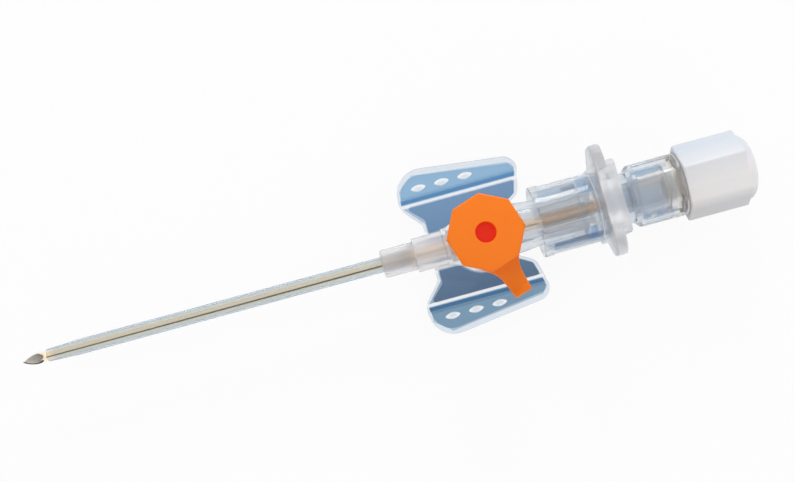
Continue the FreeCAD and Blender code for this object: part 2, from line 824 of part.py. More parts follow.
def make_vent_stopper():
    """The clear stopper that holds the flash chamber, with a tapered nose and a lugged rear post."""
    body = new_body("vent_stopper")
    core_front = chamber_front + d.front_band
    core_rear = chamber_rear - d.rear_band
    turned(body, "chamber", [
        (nose_front, 0),
        (nose_front, rear_socket_at(nose_front) - d.seat_gap, d.port_chamfer),
        (chamber_front, rear_socket_at(chamber_front) - d.seat_gap),
        (chamber_front, d.chamber_r - d.front_chamfer),
        (chamber_front + d.front_chamfer, d.chamber_r),
        (core_front, d.chamber_r),
        (core_front, d.chamber_core_r),
        (core_rear, d.chamber_core_r),
        (core_rear, d.chamber_r),
        (chamber_rear, d.chamber_r),
        (chamber_rear, d.post_r),
        (post_rear, d.post_r, d.tail_round),
        (post_rear, 0),
    ])
    half = d.rib_width / 2
    depth = math.cos(math.asin(number_of(half) / number_of(d.chamber_r)))
    edge = d.chamber_r * depth
    for name, outline in (
        ("side_ribs", box_outline(-edge, edge, -half, half)),
        ("top_ribs", box_outline(-half, half, -edge, edge)),
    ):
        slab(body, name, "YZ_Plane", [outline], core_front, core_rear - core_front)
    lugs(body, "lugs", post_rear - d.lug_length)
    turned(body, "ring_gap", [
        (chamber_front, d.flash_r + d.flash_wall),
        (chamber_front, d.gap_outer_r),
        (filter_front, d.gap_outer_r),
        (filter_front, d.flash_r + d.flash_wall),
    ], cut=True)
    turned(body, "flash_bore", [
        (nose_front, 0),
        (nose_front, d.nose_bore_r),
        (flash_front, d.nose_bore_r),
        (flash_front, d.flash_r - d.port_chamfer),
        (filter_front, d.flash_r - d.port_chamfer),
        (filter_front, d.flash_r),
        (filter_rear, d.flash_r),
        (filter_rear, post_socket_at(filter_rear)),
        (post_rear, d.post_socket_r),
        (post_rear, 0),
    ], cut=True)
    return body


def make_filter_disc():
    """The porous disc that lets air out of the flash chamber and holds blood back."""
    body = new_body("filter_disc")
    turned(body, "disc", [
        (filter_front + d.seat_gap / 5, 0),
        (filter_front + d.seat_gap / 5, d.flash_r - d.seat_gap / 5),
        (filter_rear, d.flash_r - d.seat_gap / 5),
        (filter_rear, 0),
    ])
    return body


def make_lock_cap():
    """The white lock cap: six-sided grip, rounded end, collar over the lugs and a tapered nose."""
    body = new_body("lock_cap")
    turned(body, "cap", [
        (cap_front, 0),
        (cap_front, d.cap_body_r),
        (cap_rear, d.cap_body_r, d.cap_end_round),
        (cap_rear, 0),
    ])
    corner_r = d.cap_flat / math.cos(math.pi / 6)
    grip = []
    for number in range(6):
        angle = math.pi / 3 * number
        grip.append((corner_r * math.cos(angle), corner_r * math.sin(angle), d.cap_edge_round))
    slab(body, "grip", "YZ_Plane", [grip], cap_front, d.cap_rib_length)
    nose_start = cap_front + d.cap_nose_setback
    floor = cap_rear - d.cap_end_wall
    turned(body, "collar_bore", [
        (cap_front, 0),
        (cap_front, d.cap_bore_r),
        (floor, d.cap_bore_r),
        (floor, post_socket_at(floor) - d.seat_gap),
        (nose_start, post_socket_at(nose_start) - d.seat_gap),
        (nose_start, 0),
    ], cut=True)
    return body


def check_document():
    """Stop if any object failed or a body has no sound shape."""
    for item in doc.Objects:
        if "Invalid" in item.State or "Error" in item.State:
            raise ValueError("%s failed: %s" % (item.Name, item.State))


def write_parts(bodies):
    """Write each body to its own file, after checking its shape."""
    os.makedirs("parts", exist_ok=True)
    for body in bodies:
        shape = body.Shape
        if shape.isNull() or not shape.isValid() or len(shape.Solids) != 1:
            raise ValueError("%s has no sound single solid" % body.Label)
        shape.exportStep(os.path.join("parts", body.Label + ".step"))
        box = shape.BoundBox
        print("%-14s %8.1f mm3  X %.2f..%.2f  Y %.2f..%.2f  Z %.2f..%.2f" % (
            body.Label, shape.Volume, box.XMin, box.XMax, box.YMin, box.YMax, box.ZMin, box.ZMax))


bodies = [
    make_catheter_hub(),
    make_catheter_tube(),
    make_catheter_bush(),
    make_valve_sleeve(),
    make_cap_ring(),
    make_port_cap(),
    make_needle_tube(),
    make_needle_hub(),
    make_vent_stopper(),
    make_filter_disc(),
    make_lock_cap(),
]
doc.recompute()
check_document()
write_parts(bodies)
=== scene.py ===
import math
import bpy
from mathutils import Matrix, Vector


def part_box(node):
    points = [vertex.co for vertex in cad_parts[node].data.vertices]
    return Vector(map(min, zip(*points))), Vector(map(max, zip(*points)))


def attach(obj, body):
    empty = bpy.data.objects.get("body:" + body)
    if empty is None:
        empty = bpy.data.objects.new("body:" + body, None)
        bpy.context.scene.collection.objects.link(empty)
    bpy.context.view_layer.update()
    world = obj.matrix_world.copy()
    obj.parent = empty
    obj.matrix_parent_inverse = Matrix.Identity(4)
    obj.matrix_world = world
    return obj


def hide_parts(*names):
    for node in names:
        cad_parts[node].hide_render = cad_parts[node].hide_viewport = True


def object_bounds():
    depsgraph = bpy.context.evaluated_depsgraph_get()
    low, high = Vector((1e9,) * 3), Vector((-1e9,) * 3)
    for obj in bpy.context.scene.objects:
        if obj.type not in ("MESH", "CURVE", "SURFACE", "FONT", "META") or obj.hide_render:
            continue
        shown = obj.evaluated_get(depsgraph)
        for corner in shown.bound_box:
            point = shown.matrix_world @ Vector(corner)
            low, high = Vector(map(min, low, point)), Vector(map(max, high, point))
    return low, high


bl_info = {
    "name": "Winged cannula",
    "version": (1, 0, 0),
    "blender": (4, 5, 0),
    "location": "3D View > Sidebar > Cannula",
    "description": "Models and finishes the pieces of a winged, ported cannula around its solids",
    "category": "Object",
}

import bmesh
import bpy
from mathutils import Matrix, Vector

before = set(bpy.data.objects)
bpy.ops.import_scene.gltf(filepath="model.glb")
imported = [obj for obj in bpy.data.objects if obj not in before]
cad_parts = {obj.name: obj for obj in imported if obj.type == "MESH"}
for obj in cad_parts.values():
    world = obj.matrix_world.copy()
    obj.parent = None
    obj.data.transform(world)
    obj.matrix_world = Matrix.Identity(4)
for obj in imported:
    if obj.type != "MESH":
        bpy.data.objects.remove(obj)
cad_low, cad_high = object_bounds()

MM = 0.001
# Steps of a full turn, for wide and for narrow pieces.
FINE = 96
SMALL = 64
# How much a standard cone's radius changes over its length.
CONE_RATE = 0.03
# Clearance between faces that would otherwise coincide.
APART = 0.01 * MM


def span(node):
    """Front and rear end of a node along the cannula."""
    low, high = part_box(node)
    return low[0], high[0]


def axis_height():
    """Height of the cannula's own axis over the wings' underside."""
    low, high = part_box("catheter_tube")
    return (low[2] + high[2]) / 2


AXIS = axis_height()
HUB_FRONT, HUB_REAR = span("catheter_hub")
TUBE_FRONT, TUBE_REAR = span("catheter_tube")
BUSH_FRONT, BUSH_REAR = span("catheter_bush")
SLEEVE_FRONT, SLEEVE_REAR = span("valve_sleeve")
NEEDLE_FRONT, NEEDLE_REAR = span("needle_tube")
GUARD_FRONT, NECK_REAR = span("needle_hub")
NOSE_FRONT, POST_REAR = span("vent_stopper")
FILTER_FRONT, FILTER_REAR = span("filter_disc")
CAP_FRONT, CAP_REAR = span("lock_cap")


def length(label, note, millimetres):
    """A length that the user can change, kept in metres."""
    return bpy.props.FloatProperty(name=label, description=note, default=millimetres * MM,
                                   min=0.0, unit="LENGTH")


def angle(label, note, degrees):
    """An angle that the user can change, kept in radians."""
    return bpy.props.FloatProperty(name=label, description=note, default=math.radians(degrees),
                                   subtype="ANGLE")


def colour(label, note, red, green, blue):
    """A colour that the user can change, given as it looks on a screen from 0 to 255."""
    return bpy.props.FloatVectorProperty(name=label, description=note, subtype="COLOR", size=3,
                                         default=[linear(value / 255) for value in (red, green, blue)],
                                         min=0.0, max=1.0)


def linear(value):
    """A screen value as the linear value that a shader takes."""
    return value / 12.92 if value <= 0.04045 else ((value + 0.055) / 1.055) ** 2.4


class CannulaTubes(bpy.types.PropertyGroup):
    """Catheter, bush, sleeve and needle."""

    tube_radius: length("Catheter radius", "Outer radius of the soft tube", 1.1)
    tube_bore: length("Catheter bore", "Inner radius of the soft tube", 0.86)
    tip_radius: length("Tip radius", "Outer radius at the catheter's tip", 0.92)
    taper: length("Tip taper", "Length over which the tip thins", 4.5)
    flare_front: length("Flare", "Start of the widened end ahead of the port", 15.1)
    flare_cone: length("Flare cone", "Length over which the end widens", 2.8)
    flare_radius: length("Flare radius", "Outer radius of the widened end", 1.28)
    bush_bore: length("Bush bore", "Inner radius of the metal bush", 0.9)
    bush_wall: length("Bush wall", "Wall of the metal bush", 0.13)
    bush_funnel: length("Bush funnel", "Length of the bush's cone", 0.4)
    bush_flange: length("Bush flange", "Outer radius of the bush's wide end", 1.6)
    sleeve_radius: length("Sleeve radius", "Outer radius of the valve sleeve", 1.85)
    sleeve_bore: length("Sleeve bore", "Inner radius of the valve sleeve", 1.25)
    needle_radius: length("Needle radius", "Outer radius of the needle", 0.83)
    needle_bore: length("Needle bore", "Inner radius of the needle", 0.62)
    bevel_length: length("Bevel length", "Length of the ground bevel", 4.3)
    lancet_length: length("Lancet length", "Length of the two facets at the point", 1.9)


class CannulaHub(bpy.types.PropertyGroup):
    """The clear moulding with nozzle, barrel, port and wings."""

    nozzle_radius: length("Nozzle radius", "Outer radius of the front nozzle", 2.05)
    nozzle_length: length("Nozzle length", "Length of the front nozzle", 4.8)
    nozzle_round: length("Nozzle edge", "Rounding of the nozzle's front edge", 0.45)
    base_radius: length("Nozzle base radius", "Outer radius of the stepped nozzle base", 2.48)
    base_length: length("Nozzle base length", "Length of the stepped nozzle base", 4.4)
    collar_radius: length("Collar radius", "Outer radius of the band ahead of the port", 2.75)
    collar_length: length("Collar length", "Length of the band ahead of the port", 0.6)
    barrel_front: length("Barrel start", "Start of the full barrel ahead of the port", 3.0)
    barrel_radius: length("Barrel radius", "Outer radius of the barrel", 3.6)
    barrel_rear: length("Barrel end", "End of the full barrel behind the port", 5.0)
    tail_start: length("Tail start", "Start of the narrower tail behind the port", 8.0)
    tail_radius: length("Tail radius", "Outer radius of the tail", 3.3)
    channel_radius: length("Channel radius", "Radius of the flow channel", 1.45)
    socket_radius: length("Socket radius", "Radius of the rear socket at its mouth", 2.2)
    lug_radius: length("Lug radius", "Reach of the lock lugs", 3.9)
    lug_width: length("Lug width", "Width of a lock lug", 3.6)
    lug_length: length("Lug length", "Length of a lock lug", 1.8)
    lug_setback: length("Lug setback", "Distance of the lugs from the hub's end", 0.6)
    port_base_radius: length("Port base radius", "Radius of the port's foot", 5.0)
    port_base_top: length("Port base top", "Height of the port's foot over the axis", 1.2)
    port_cone_top: length("Port cone top", "Height of the port's cone over the axis", 3.9)
    port_neck_radius: length("Port neck radius", "Radius of the port's neck", 3.2)
    rim_bottom: length("Rim bottom", "Height of the port's rim over the axis", 6.4)
    rim_radius: length("Rim radius", "Radius of the port's rim", 3.7)
    port_top: length("Port top", "Height of the port over the axis", 7.5)
    port_bore: length("Port bore", "Radius of the port's bore at its mouth", 2.15)
    port_floor: length("Port floor", "Height of the port's floor over the axis", 2.8)
    port_hole: length("Port hole", "Radius of the hole in the port's floor", 1.2)
    rim_height: length("Wing rim height", "Height of the wings' rims", 1.1)
    panel_height: length("Panel height", "Height of the inner panels", 0.6)
    outer_height: length("Outer panel height", "Height of the outer panels", 0.85)
    rim_width: length("Wing rim width", "Width of the wings' rims", 0.55)
    edge_width: length("Wing edge width", "Width of the outer panels' broad edge", 1.0)
    ridge: length("Ridge", "Distance of the ridge from the middle", 7.2)
    crease: length("Crease", "Distance of the crease from the middle", 8.0)
    crease_radius: length("Crease radius", "Radius of the crease's hollow", 0.42)
    bump_row: length("Bump row", "Distance of the bumps from the middle", 9.6)
    bump_first: length("First bump", "Distance of the first bump ahead of the port", 7.0)
    bump_pitch: length("Bump pitch", "Distance from bump to bump", 3.5)


class CannulaCap(bpy.types.PropertyGroup):
    """The port cap: swivel ring, lid, skirt, plug and thumb tab."""

    lid_radius: length("Lid radius", "Distance of the lid's corners from the port's axis", 5.5)
    lid_bottom: length("Lid bottom", "Height of the lid's underside over the axis", 7.6)
    lid_thick: length("Lid thickness", "Thickness of the lid", 1.4)
    skirt_bottom: length("Skirt bottom", "Height of the skirt's lower edge over the axis", 5.7)
    skirt_radius: length("Skirt radius", "Outer radius of the skirt", 4.5)
    skirt_bore: length("Skirt bore", "Inner radius of the skirt", 4.0)
    plug_top: length("Plug radius", "Radius of the plug at the lid", 1.95)
    plug_end: length("Plug end radius", "Radius of the plug's lower end", 1.55)
    plug_length: length("Plug length", "Length of the plug", 2.0)
    recess_radius: length("Recess radius", "Radius of the round recess", 1.45)
    recess_depth: length("Recess depth", "Depth of the round recess", 1.6)
    ring_bottom: length("Ring bottom", "Height of the ring over the axis", 4.3)
    ring_height: length("Ring height", "Height of the ring", 1.0)
    ring_radius: length("Ring radius", "Outer radius of the ring", 4.5)
    ring_bore: length("Ring bore", "Inner radius of the ring", 3.3)
    hinge_reach: length("Hinge reach", "Distance of the hinge from the port's axis", 4.75)
    hinge_height: length("Hinge height", "Height of the hinge over the axis", 5.85)
    hinge_radius: length("Hinge radius", "Radius of the hinge's rounded edge", 0.3)
    hinge_width: length("Hinge width", "Width of the hinge", 3.2)
    lid_azimuth: angle("Tab direction", "Direction of the thumb tab seen from above", 288.0)


class CannulaNeedleHub(bpy.types.PropertyGroup):
    """The clear hub that carries the needle."""

    guard_radius: length("Guard radius", "Outer radius of the slotted guard", 5.0)
    guard_wall: length("Guard wall", "Wall of the guard", 0.6)
    bead_length: length("Bead length", "Length of the guard's front bead", 1.35)
    bead_height: length("Bead height", "Height of the guard's front bead", 0.15)
    slot_width: length("Slot width", "Width of the guard's slots", 3.2)
    slot_wall: length("Slot end wall", "Wall left between slot and flange", 0.7)
    flange_front: length("Flange front", "Distance of the flange behind the port", 16.5)
    flange_thick: length("Flange thickness", "Thickness of the thumb flange", 1.5)
    flange_top: length("Flange top", "Height of the flange over the axis", 10.5)
    flange_half: length("Flange half width", "Half the width of the flange", 7.8)
    ear_bottom: length("Ear bottom", "Height of the ears' lower corner over the axis", 5.6)
    waist_height: length("Waist height", "Height of the flange's waist over the axis", 2.2)
    waist_half: length("Waist half width", "Half the width of the flange's waist", 5.4)
    low_height: length("Low height", "Depth of the flange's straight side under the axis", 3.0)
    bottom: length("Flange bottom", "Depth of the flange under the axis", 5.5)
    bottom_half: length("Flange bottom half width", "Half the width of the flange's bottom", 3.4)
    ear_round: length("Ear rounding", "Rounding of the flange's ears", 2.4)
    low_round: length("Lower rounding", "Rounding of the flange's lower corners", 1.6)
    boss_thick: length("Boss thickness", "Thickness of the boss behind the flange", 1.2)
    boss_half: length("Boss half width", "Half the width of the boss", 5.2)
    boss_bottom: length("Boss bottom", "Depth of the boss under the axis", 4.6)
    boss_round: length("Boss rounding", "Rounding of the boss's corners", 1.2)
    mark_pitch: length("Mark pitch", "Distance between the short marks on the flange", 0.75)
    mark_middle: length("Mark middle", "Distance of the marks' middle from the axis", 3.3)
    mark_width: length("Mark width", "Width of a mark", 0.34)
    mark_depth: length("Mark depth", "Depth of a mark", 0.12)
    neck_front_radius: length("Neck front radius", "Radius of the neck at the boss", 4.2)
    neck_radius: length("Neck radius", "Radius of the neck's end", 3.6)
    male_length: length("Cone length", "Length of the cone in the hub's socket", 7.9)
    male_gap: length("Cone gap", "Clearance of the cone in its socket", 0.06)
    needle_seat: length("Needle seat", "Distance of the needle's end behind the port", 17.2)
    flow_radius: length("Flow radius", "Radius of the channel behind the needle", 0.5)
    socket_radius: length("Rear socket radius", "Radius of the rear socket at its mouth", 2.15)
    socket_depth: length("Rear socket depth", "Depth of the rear socket", 3.5)


class CannulaRear(bpy.types.PropertyGroup):
    """The vent stopper with its flash chamber, and the lock cap."""

    nose_length: length("Nose length", "Length of the stopper's nose", 3.2)
    nose_gap: length("Nose gap", "Clearance of the nose in its socket", 0.05)
    chamber_length: length("Chamber length", "Length of the wide chamber", 7.5)
    chamber_radius: length("Chamber radius", "Radius over the chamber's ribs", 4.5)
    core_radius: length("Core radius", "Radius between the chamber's ribs", 3.9)
    front_band: length("Front band", "Length of the band at the chamber's front", 1.25)
    rear_band: length("Rear band", "Length of the band at the chamber's rear", 0.7)
    front_chamfer: length("Front chamfer", "Chamfer of the chamber's front edge", 0.6)
    rib_width: length("Rib width", "Width of the chamber's four ribs", 3.6)
    flash_radius: length("Flash radius", "Radius of the flash chamber", 2.0)
    flash_wall: length("Flash wall", "Wall of the flash chamber's tube", 0.75)
    gap_radius: length("Gap radius", "Outer radius of the ring-shaped gap", 3.4)
    nose_bore: length("Nose bore", "Radius of the nose's bore", 1.1)
    nose_bore_depth: length("Nose bore depth", "Depth of the nose's bore", 4.5)
    post_radius: length("Post radius", "Radius of the lugged post", 3.3)
    post_socket: length("Post socket", "Radius of the post's socket at its mouth", 2.2)
    cap_radius: length("Cap radius", "Radius of the lock cap's round body", 4.9)
    cap_flat: length("Cap half width", "Half the width over the cap's flats", 4.86)
    grip_length: length("Grip length", "Length of the six-sided grip", 9.0)
    grip_round: length("Grip rounding", "Rounding of the grip's six edges", 0.5)
    end_round: length("End rounding", "Rounding of the cap's closed end", 2.0)
    cap_bore: length("Cap bore", "Radius of the cap's collar", 4.15)
    cap_end_wall: length("Cap end wall", "Thickness of the cap's closed end", 2.2)
    cap_nose_setback: length("Cap nose setback", "Distance of the cap's nose from its mouth", 0.7)
    grip_turn: angle("Grip turn", "How far the cap is screwed round", 12.0)


class CannulaFinish(bpy.types.PropertyGroup):
    """Colours of the pieces, with the light, shade and backdrop painted onto them."""

    # Painted backdrop: the wings are colourless, and these blues paint the backdrop seen through their inner
    # panels, crease and outer panels.
    panel: colour("Inner panels", "Tint of the wings' inner panels", 119, 153, 189)
    crease: colour("Crease", "Tint of the crease beside each ridge", 92, 146, 196)
    wing: colour("Outer panels", "Tint of the wings' outer panels", 148, 186, 216)
    hub: colour("Hub", "Tint of the clear hub", 246, 249, 252)
    needle_hub: colour("Needle hub", "Tint of the clear needle hub", 236, 241, 246)
    stopper: colour("Stopper", "Tint of the clear stopper", 232, 238, 245)
    milk: colour("Milk", "Colour of the milky parts of the clear pieces", 250, 249, 250)
    catheter: colour("Catheter", "Colour of the milky tube", 252, 249, 245)
    # Painted shade: the bluish tone of the clear pieces' turned-away edges.
    edge: colour("Edges", "Colour of the clear pieces' turned-away edges", 150, 176, 205)
    # Painted highlight: the pale lines on the clear pieces' thick edges.
    painted_highlight_cream: colour("Cream", "Warm tone of the clear pieces' thick edges", 255, 246, 232)
    # Painted reflection: the steel's warm glow, painted on the clear pieces where the needle lies inside
    # them.
    warm: colour("Warm", "Tone of the clear pieces over the steel", 255, 236, 218)
    # Painted highlight: the pale rims of the clear wings.
    rim: colour("Rim", "Tint of the wings' rims", 229, 237, 246)
    tube_skin: colour("Tube skin", "Tint of the tube's outer face", 222, 231, 238)
    orange: colour("Orange", "Colour of the port cap", 255, 127, 18)
    # Painted shade: the deeper red of the lid's shadowed recess.
    recess: colour("Recess", "Colour of the cap's recess", 255, 58, 6)
    tab: colour("Tab", "Colour of the thinner thumb tab", 240, 120, 6)
    steel: colour("Steel", "Colour of the needle", 255, 249, 238)
    # Painted shade: the darker grey inside the needle's bore.
    bore: colour("Bore", "Colour inside the needle", 186, 182, 174)
    silicone: colour("Silicone", "Colour of the valve sleeve", 214, 216, 214)
    filter: colour("Filter", "Colour of the filter disc", 232, 232, 228)
    bush: colour("Bush", "Colour of the metal bush", 250, 236, 214)
    white: colour("White", "Colour of the lock cap", 238, 236, 234)
    # Painted light: the cooler, dimmer tone of the lock cap's far side.
    white_painted_far_light: colour("White, far side", "Colour of the lock cap's far side", 208, 215, 223)
    # Painted shade on the lock cap's near side.
    white_painted_shade: colour("White, near side", "Colour of the lock cap's shaded side", 203, 202, 203)


def clear_selection():
    """Leave edit mode and select nothing."""
    if bpy.context.object and bpy.context.object.mode != "OBJECT":
        bpy.ops.object.mode_set(mode="OBJECT")
    bpy.ops.object.select_all(action="DESELECT")


def choose(piece):
    """Select one piece alone and make it the active one."""
    clear_selection()
    piece.select_set(True)
    bpy.context.view_layer.objects.active = piece


def settle(piece):
    """Put a piece's place, turn and scale into its mesh."""
    choose(piece)
    bpy.ops.object.transform_apply(location=True, rotation=True, scale=True)


def rounded(corners, closed=True, steps=6):
    """Points of an outline whose corners are (x, y) or (x, y, radius)."""
    points = []
    count = len(corners)
    for i, corner in enumerate(corners):
        here = Vector(corner[:2])
        at_end = not closed and i in (0, count - 1)
        if len(corner) == 2 or at_end:
            points.append(here)
            continue
        radius = corner[2]
        back = (Vector(corners[i - 1][:2]) - here).normalized()
        ahead = (Vector(corners[(i + 1) % count][:2]) - here).normalized()
        half = back.angle(ahead) / 2
        reach = radius / math.tan(half)
        centre = here + (back + ahead).normalized() * radius / math.sin(half)
        first = here + back * reach - centre
        last = here + ahead * reach - centre
        sweep = first.angle_signed(last)
        for step in range(steps + 1):
            points.append(centre + Matrix.Rotation(-sweep * step / steps, 2) @ first)
    return points


def draw(name, points, closed):
    """A chain of edges, drawn by extruding one vertex from point to point."""
    clear_selection()
    bpy.ops.mesh.primitive_plane_add(size=MM, location=points[0])
    piece = bpy.context.object
    piece.name = name
    bpy.ops.object.mode_set(mode="EDIT")
    bpy.ops.mesh.merge(type="CENTER")
    stops = points + [points[0]] if closed else points
    for here, there in zip(stops, stops[1:]):
        bpy.ops.mesh.extrude_region_move(TRANSFORM_OT_translate={"value": there - here})
    bpy.ops.mesh.select_all(action="SELECT")
    bpy.ops.mesh.remove_doubles(threshold=MM / 1000)
    return piece


def turn(name, corners, closed=False, upright=False, steps=FINE):
    """A turned piece about the cannula's axis, or about the port's axis if upright."""
    points = [Vector((p.x, 0, AXIS + p.y)) for p in rounded(corners, closed)]
    piece = draw(name, points, closed)
    axis = (0, 0, 1) if upright else (1, 0, 0)
    bpy.ops.mesh.spin(steps=steps, angle=math.tau, center=(0, 0, AXIS), axis=axis)
    tidy_mesh()
    settle(piece)
    return piece


def tidy_mesh():
    """Merge doubles and turn all faces outwards, in edit mode."""
    bpy.ops.mesh.select_all(action="SELECT")
    bpy.ops.mesh.remove_doubles(threshold=MM / 1000)
    bpy.ops.mesh.normals_make_consistent(inside=False)
    bpy.ops.object.mode_set(mode="OBJECT")


def slab(name, corners, low, high, along_x=False, steps=6):
    """A plate with the given outline, from low to high along Z, or along X with an outline in Y and Z."""
    outline = rounded(corners, steps=steps)
    if along_x:
        points = [Vector((low, p.x, AXIS + p.y)) for p in outline]
        rise = Vector((high - low, 0, 0))
    else:
        points = [Vector((p.x, p.y, low)) for p in outline]
        rise = Vector((0, 0, high - low))
    piece = draw(name, points, closed=True)
    bpy.ops.mesh.edge_face_add()
    bpy.ops.mesh.extrude_region_move(TRANSFORM_OT_translate={"value": rise})
    tidy_mesh()
    settle(piece)
    return piece


def cylinder(name, sides, radius, depth, place, rotation):
    """A named cylinder or prism."""
    clear_selection()
    bpy.ops.mesh.primitive_cylinder_add(vertices=sides, radius=radius, depth=depth, location=place,
                                        rotation=rotation)
    piece = bpy.context.object
    piece.name = name
    settle(piece)
    return piece


def about_axis(roll):
    """A turn about the cannula's axis."""
    lift = Matrix.Translation((0, 0, AXIS))
    return lift @ Matrix.Rotation(roll, 4, "X") @ Matrix.Translation((0, 0, -AXIS))


def soften(piece, width, segments=3, sharper_than=30.0):
    """Round a piece's sharp edges."""
    choose(piece)
    bpy.ops.object.modifier_add(type="BEVEL")
    modifier = piece.modifiers[-1]
    modifier.width = width
    modifier.segments = segments
    modifier.limit_method = "ANGLE"
    modifier.angle_limit = math.radians(sharper_than)
    modifier.harden_normals = False
    bpy.ops.object.modifier_apply(modifier=modifier.name)


def combine(piece, tool, operation):
    """Join a tool to a piece, or cut it away, and delete the tool."""
    choose(piece)
    bpy.ops.object.modifier_add(type="BOOLEAN")
    modifier = piece.modifiers[-1]
    modifier.operation = operation
    modifier.solver = "EXACT"
    modifier.object = tool
    bpy.ops.object.modifier_apply(modifier=modifier.name)
    choose(tool)
    bpy.ops.object.delete()


def fuse(piece, *tools):
    """Join tools to a piece, one after another."""
    for tool in tools:
        combine(piece, tool, "UNION")


def cut(piece, *tools):
    """Cut tools away from a piece, one after another."""
    for tool in tools:
        combine(piece, tool, "DIFFERENCE")


def smooth(piece, up_to=32.0):
    """Shade a finished piece smooth, apart from its sharp edges."""
    choose(piece)
    bpy.ops.object.shade_smooth_by_angle(angle=math.radians(up_to))


def mirrored(outline):
    """The same outline on the other side of the middle."""
    return [(corner[0], -corner[1]) + tuple(corner[2:]) for corner in reversed(outline)]


def both_sides(upper):
    """A closed outline from its upper half."""
    return upper + mirrored(upper)


def hand_in(piece, material, body, slot, *nodes):
    """Dress a finished piece, name the body it rides on and hide the nodes it stands for. The slot is not
    used.
    """
    dress(piece, material)
    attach(piece, body)
    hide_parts(*nodes)
    return {"FINISHED"}


class Wire:
    """A socket that can be used in sums like a number."""

    def __init__(self, nodes, socket):
        self.nodes = nodes
        self.socket = socket

    def __add__(self, other):
        return self.nodes.maths("ADD", self, other)

    def __radd__(self, other):
        return self.nodes.maths("ADD", other, self)

    def __sub__(self, other):
        return self.nodes.maths("SUBTRACT", self, other)

    def __rsub__(self, other):
        return self.nodes.maths("SUBTRACT", other, self)

    def __mul__(self, other):
        return self.nodes.maths("MULTIPLY", self, other)

    def __rmul__(self, other):
        return self.nodes.maths("MULTIPLY", other, self)

    def __truediv__(self, other):
        return self.nodes.maths("DIVIDE", self, other)

    def __gt__(self, other):
        return self.nodes.maths("GREATER_THAN", self, other)

    def __lt__(self, other):
        return self.nodes.maths("LESS_THAN", self, other)

    def __abs__(self):
        return self.nodes.maths("ABSOLUTE", self)


class Nodes:
    """A node tree written in plain expressions."""

    def __init__(self, tree):
        self.tree = tree

    def node(self, kind, settings=None, inputs=None):
        """Any node: its settings are set first, then its sockets are given values or links."""
        made = self.tree.nodes.new(kind)
        for key, value in (settings or {}).items():
            setattr(made, key, value)
        for key, value in (inputs or {}).items():
            socket = made.inputs[key]
            if isinstance(value, Wire):
                self.tree.links.new(value.socket, socket)
            else:
                socket.default_value = value
        return made

    def value(self, kind, settings=None, inputs=None, output=0):
        """One output of a new node, ready for sums."""
        return Wire(self, self.node(kind, settings, inputs).outputs[output])

    def maths(self, operation, *values):
        """One sum of sockets and numbers."""
        return self.value("ShaderNodeMath", {"operation": operation}, dict(enumerate(values)))

    def parts(self, vector):
        """The three coordinates as numbers."""
        node = self.node("ShaderNodeSeparateXYZ", None, {"Vector": vector})
        return [Wire(self, output) for output in node.outputs]

    def rays(self, *kinds):
        """One for rays of any of these kinds."""
        path = self.node("ShaderNodeLightPath")
        seen = [Wire(self, path.outputs["Is %s Ray" % kind]) for kind in kinds]
        return sum(seen[1:], seen[0])

    def blend(self, factor, first, second):
        """A colour between two others."""
        return self.value("ShaderNodeMix", {"data_type": "RGBA"},
                          {"Factor": factor, 6: first, 7: second}, output=2)

    def ramp(self, place, stops):
        """Colours that follow one another at their stops."""
        node = self.node("ShaderNodeValToRGB", None, {0: place})
        elements = node.color_ramp.elements
        for index, (position, shade) in enumerate(stops):
            element = elements[index] if index < 2 else elements.new(position)
            element.position = position
            element.color = shade + (1.0,)
        return Wire(self, node.outputs[0])

    def range(self, value, low, high, to_low, to_high):
        """A value carried from one range to another, held within it."""
        return self.value("ShaderNodeMapRange", {"clamp": True}, {
            "Value": value, "From Min": low, "From Max": high, "To Min": to_low, "To Max": to_high})

    def rise(self, value, low, high, top=1.0):
        """Nothing up to low, and the top value past high, both in millimetres."""
        return self.range(value, low * MM, high * MM, 0.0, top)

    def fall(self, value, low, high):
        """One up to low, and nothing past high, both in millimetres."""
        return self.range(value, low * MM, high * MM, 1.0, 0.0)


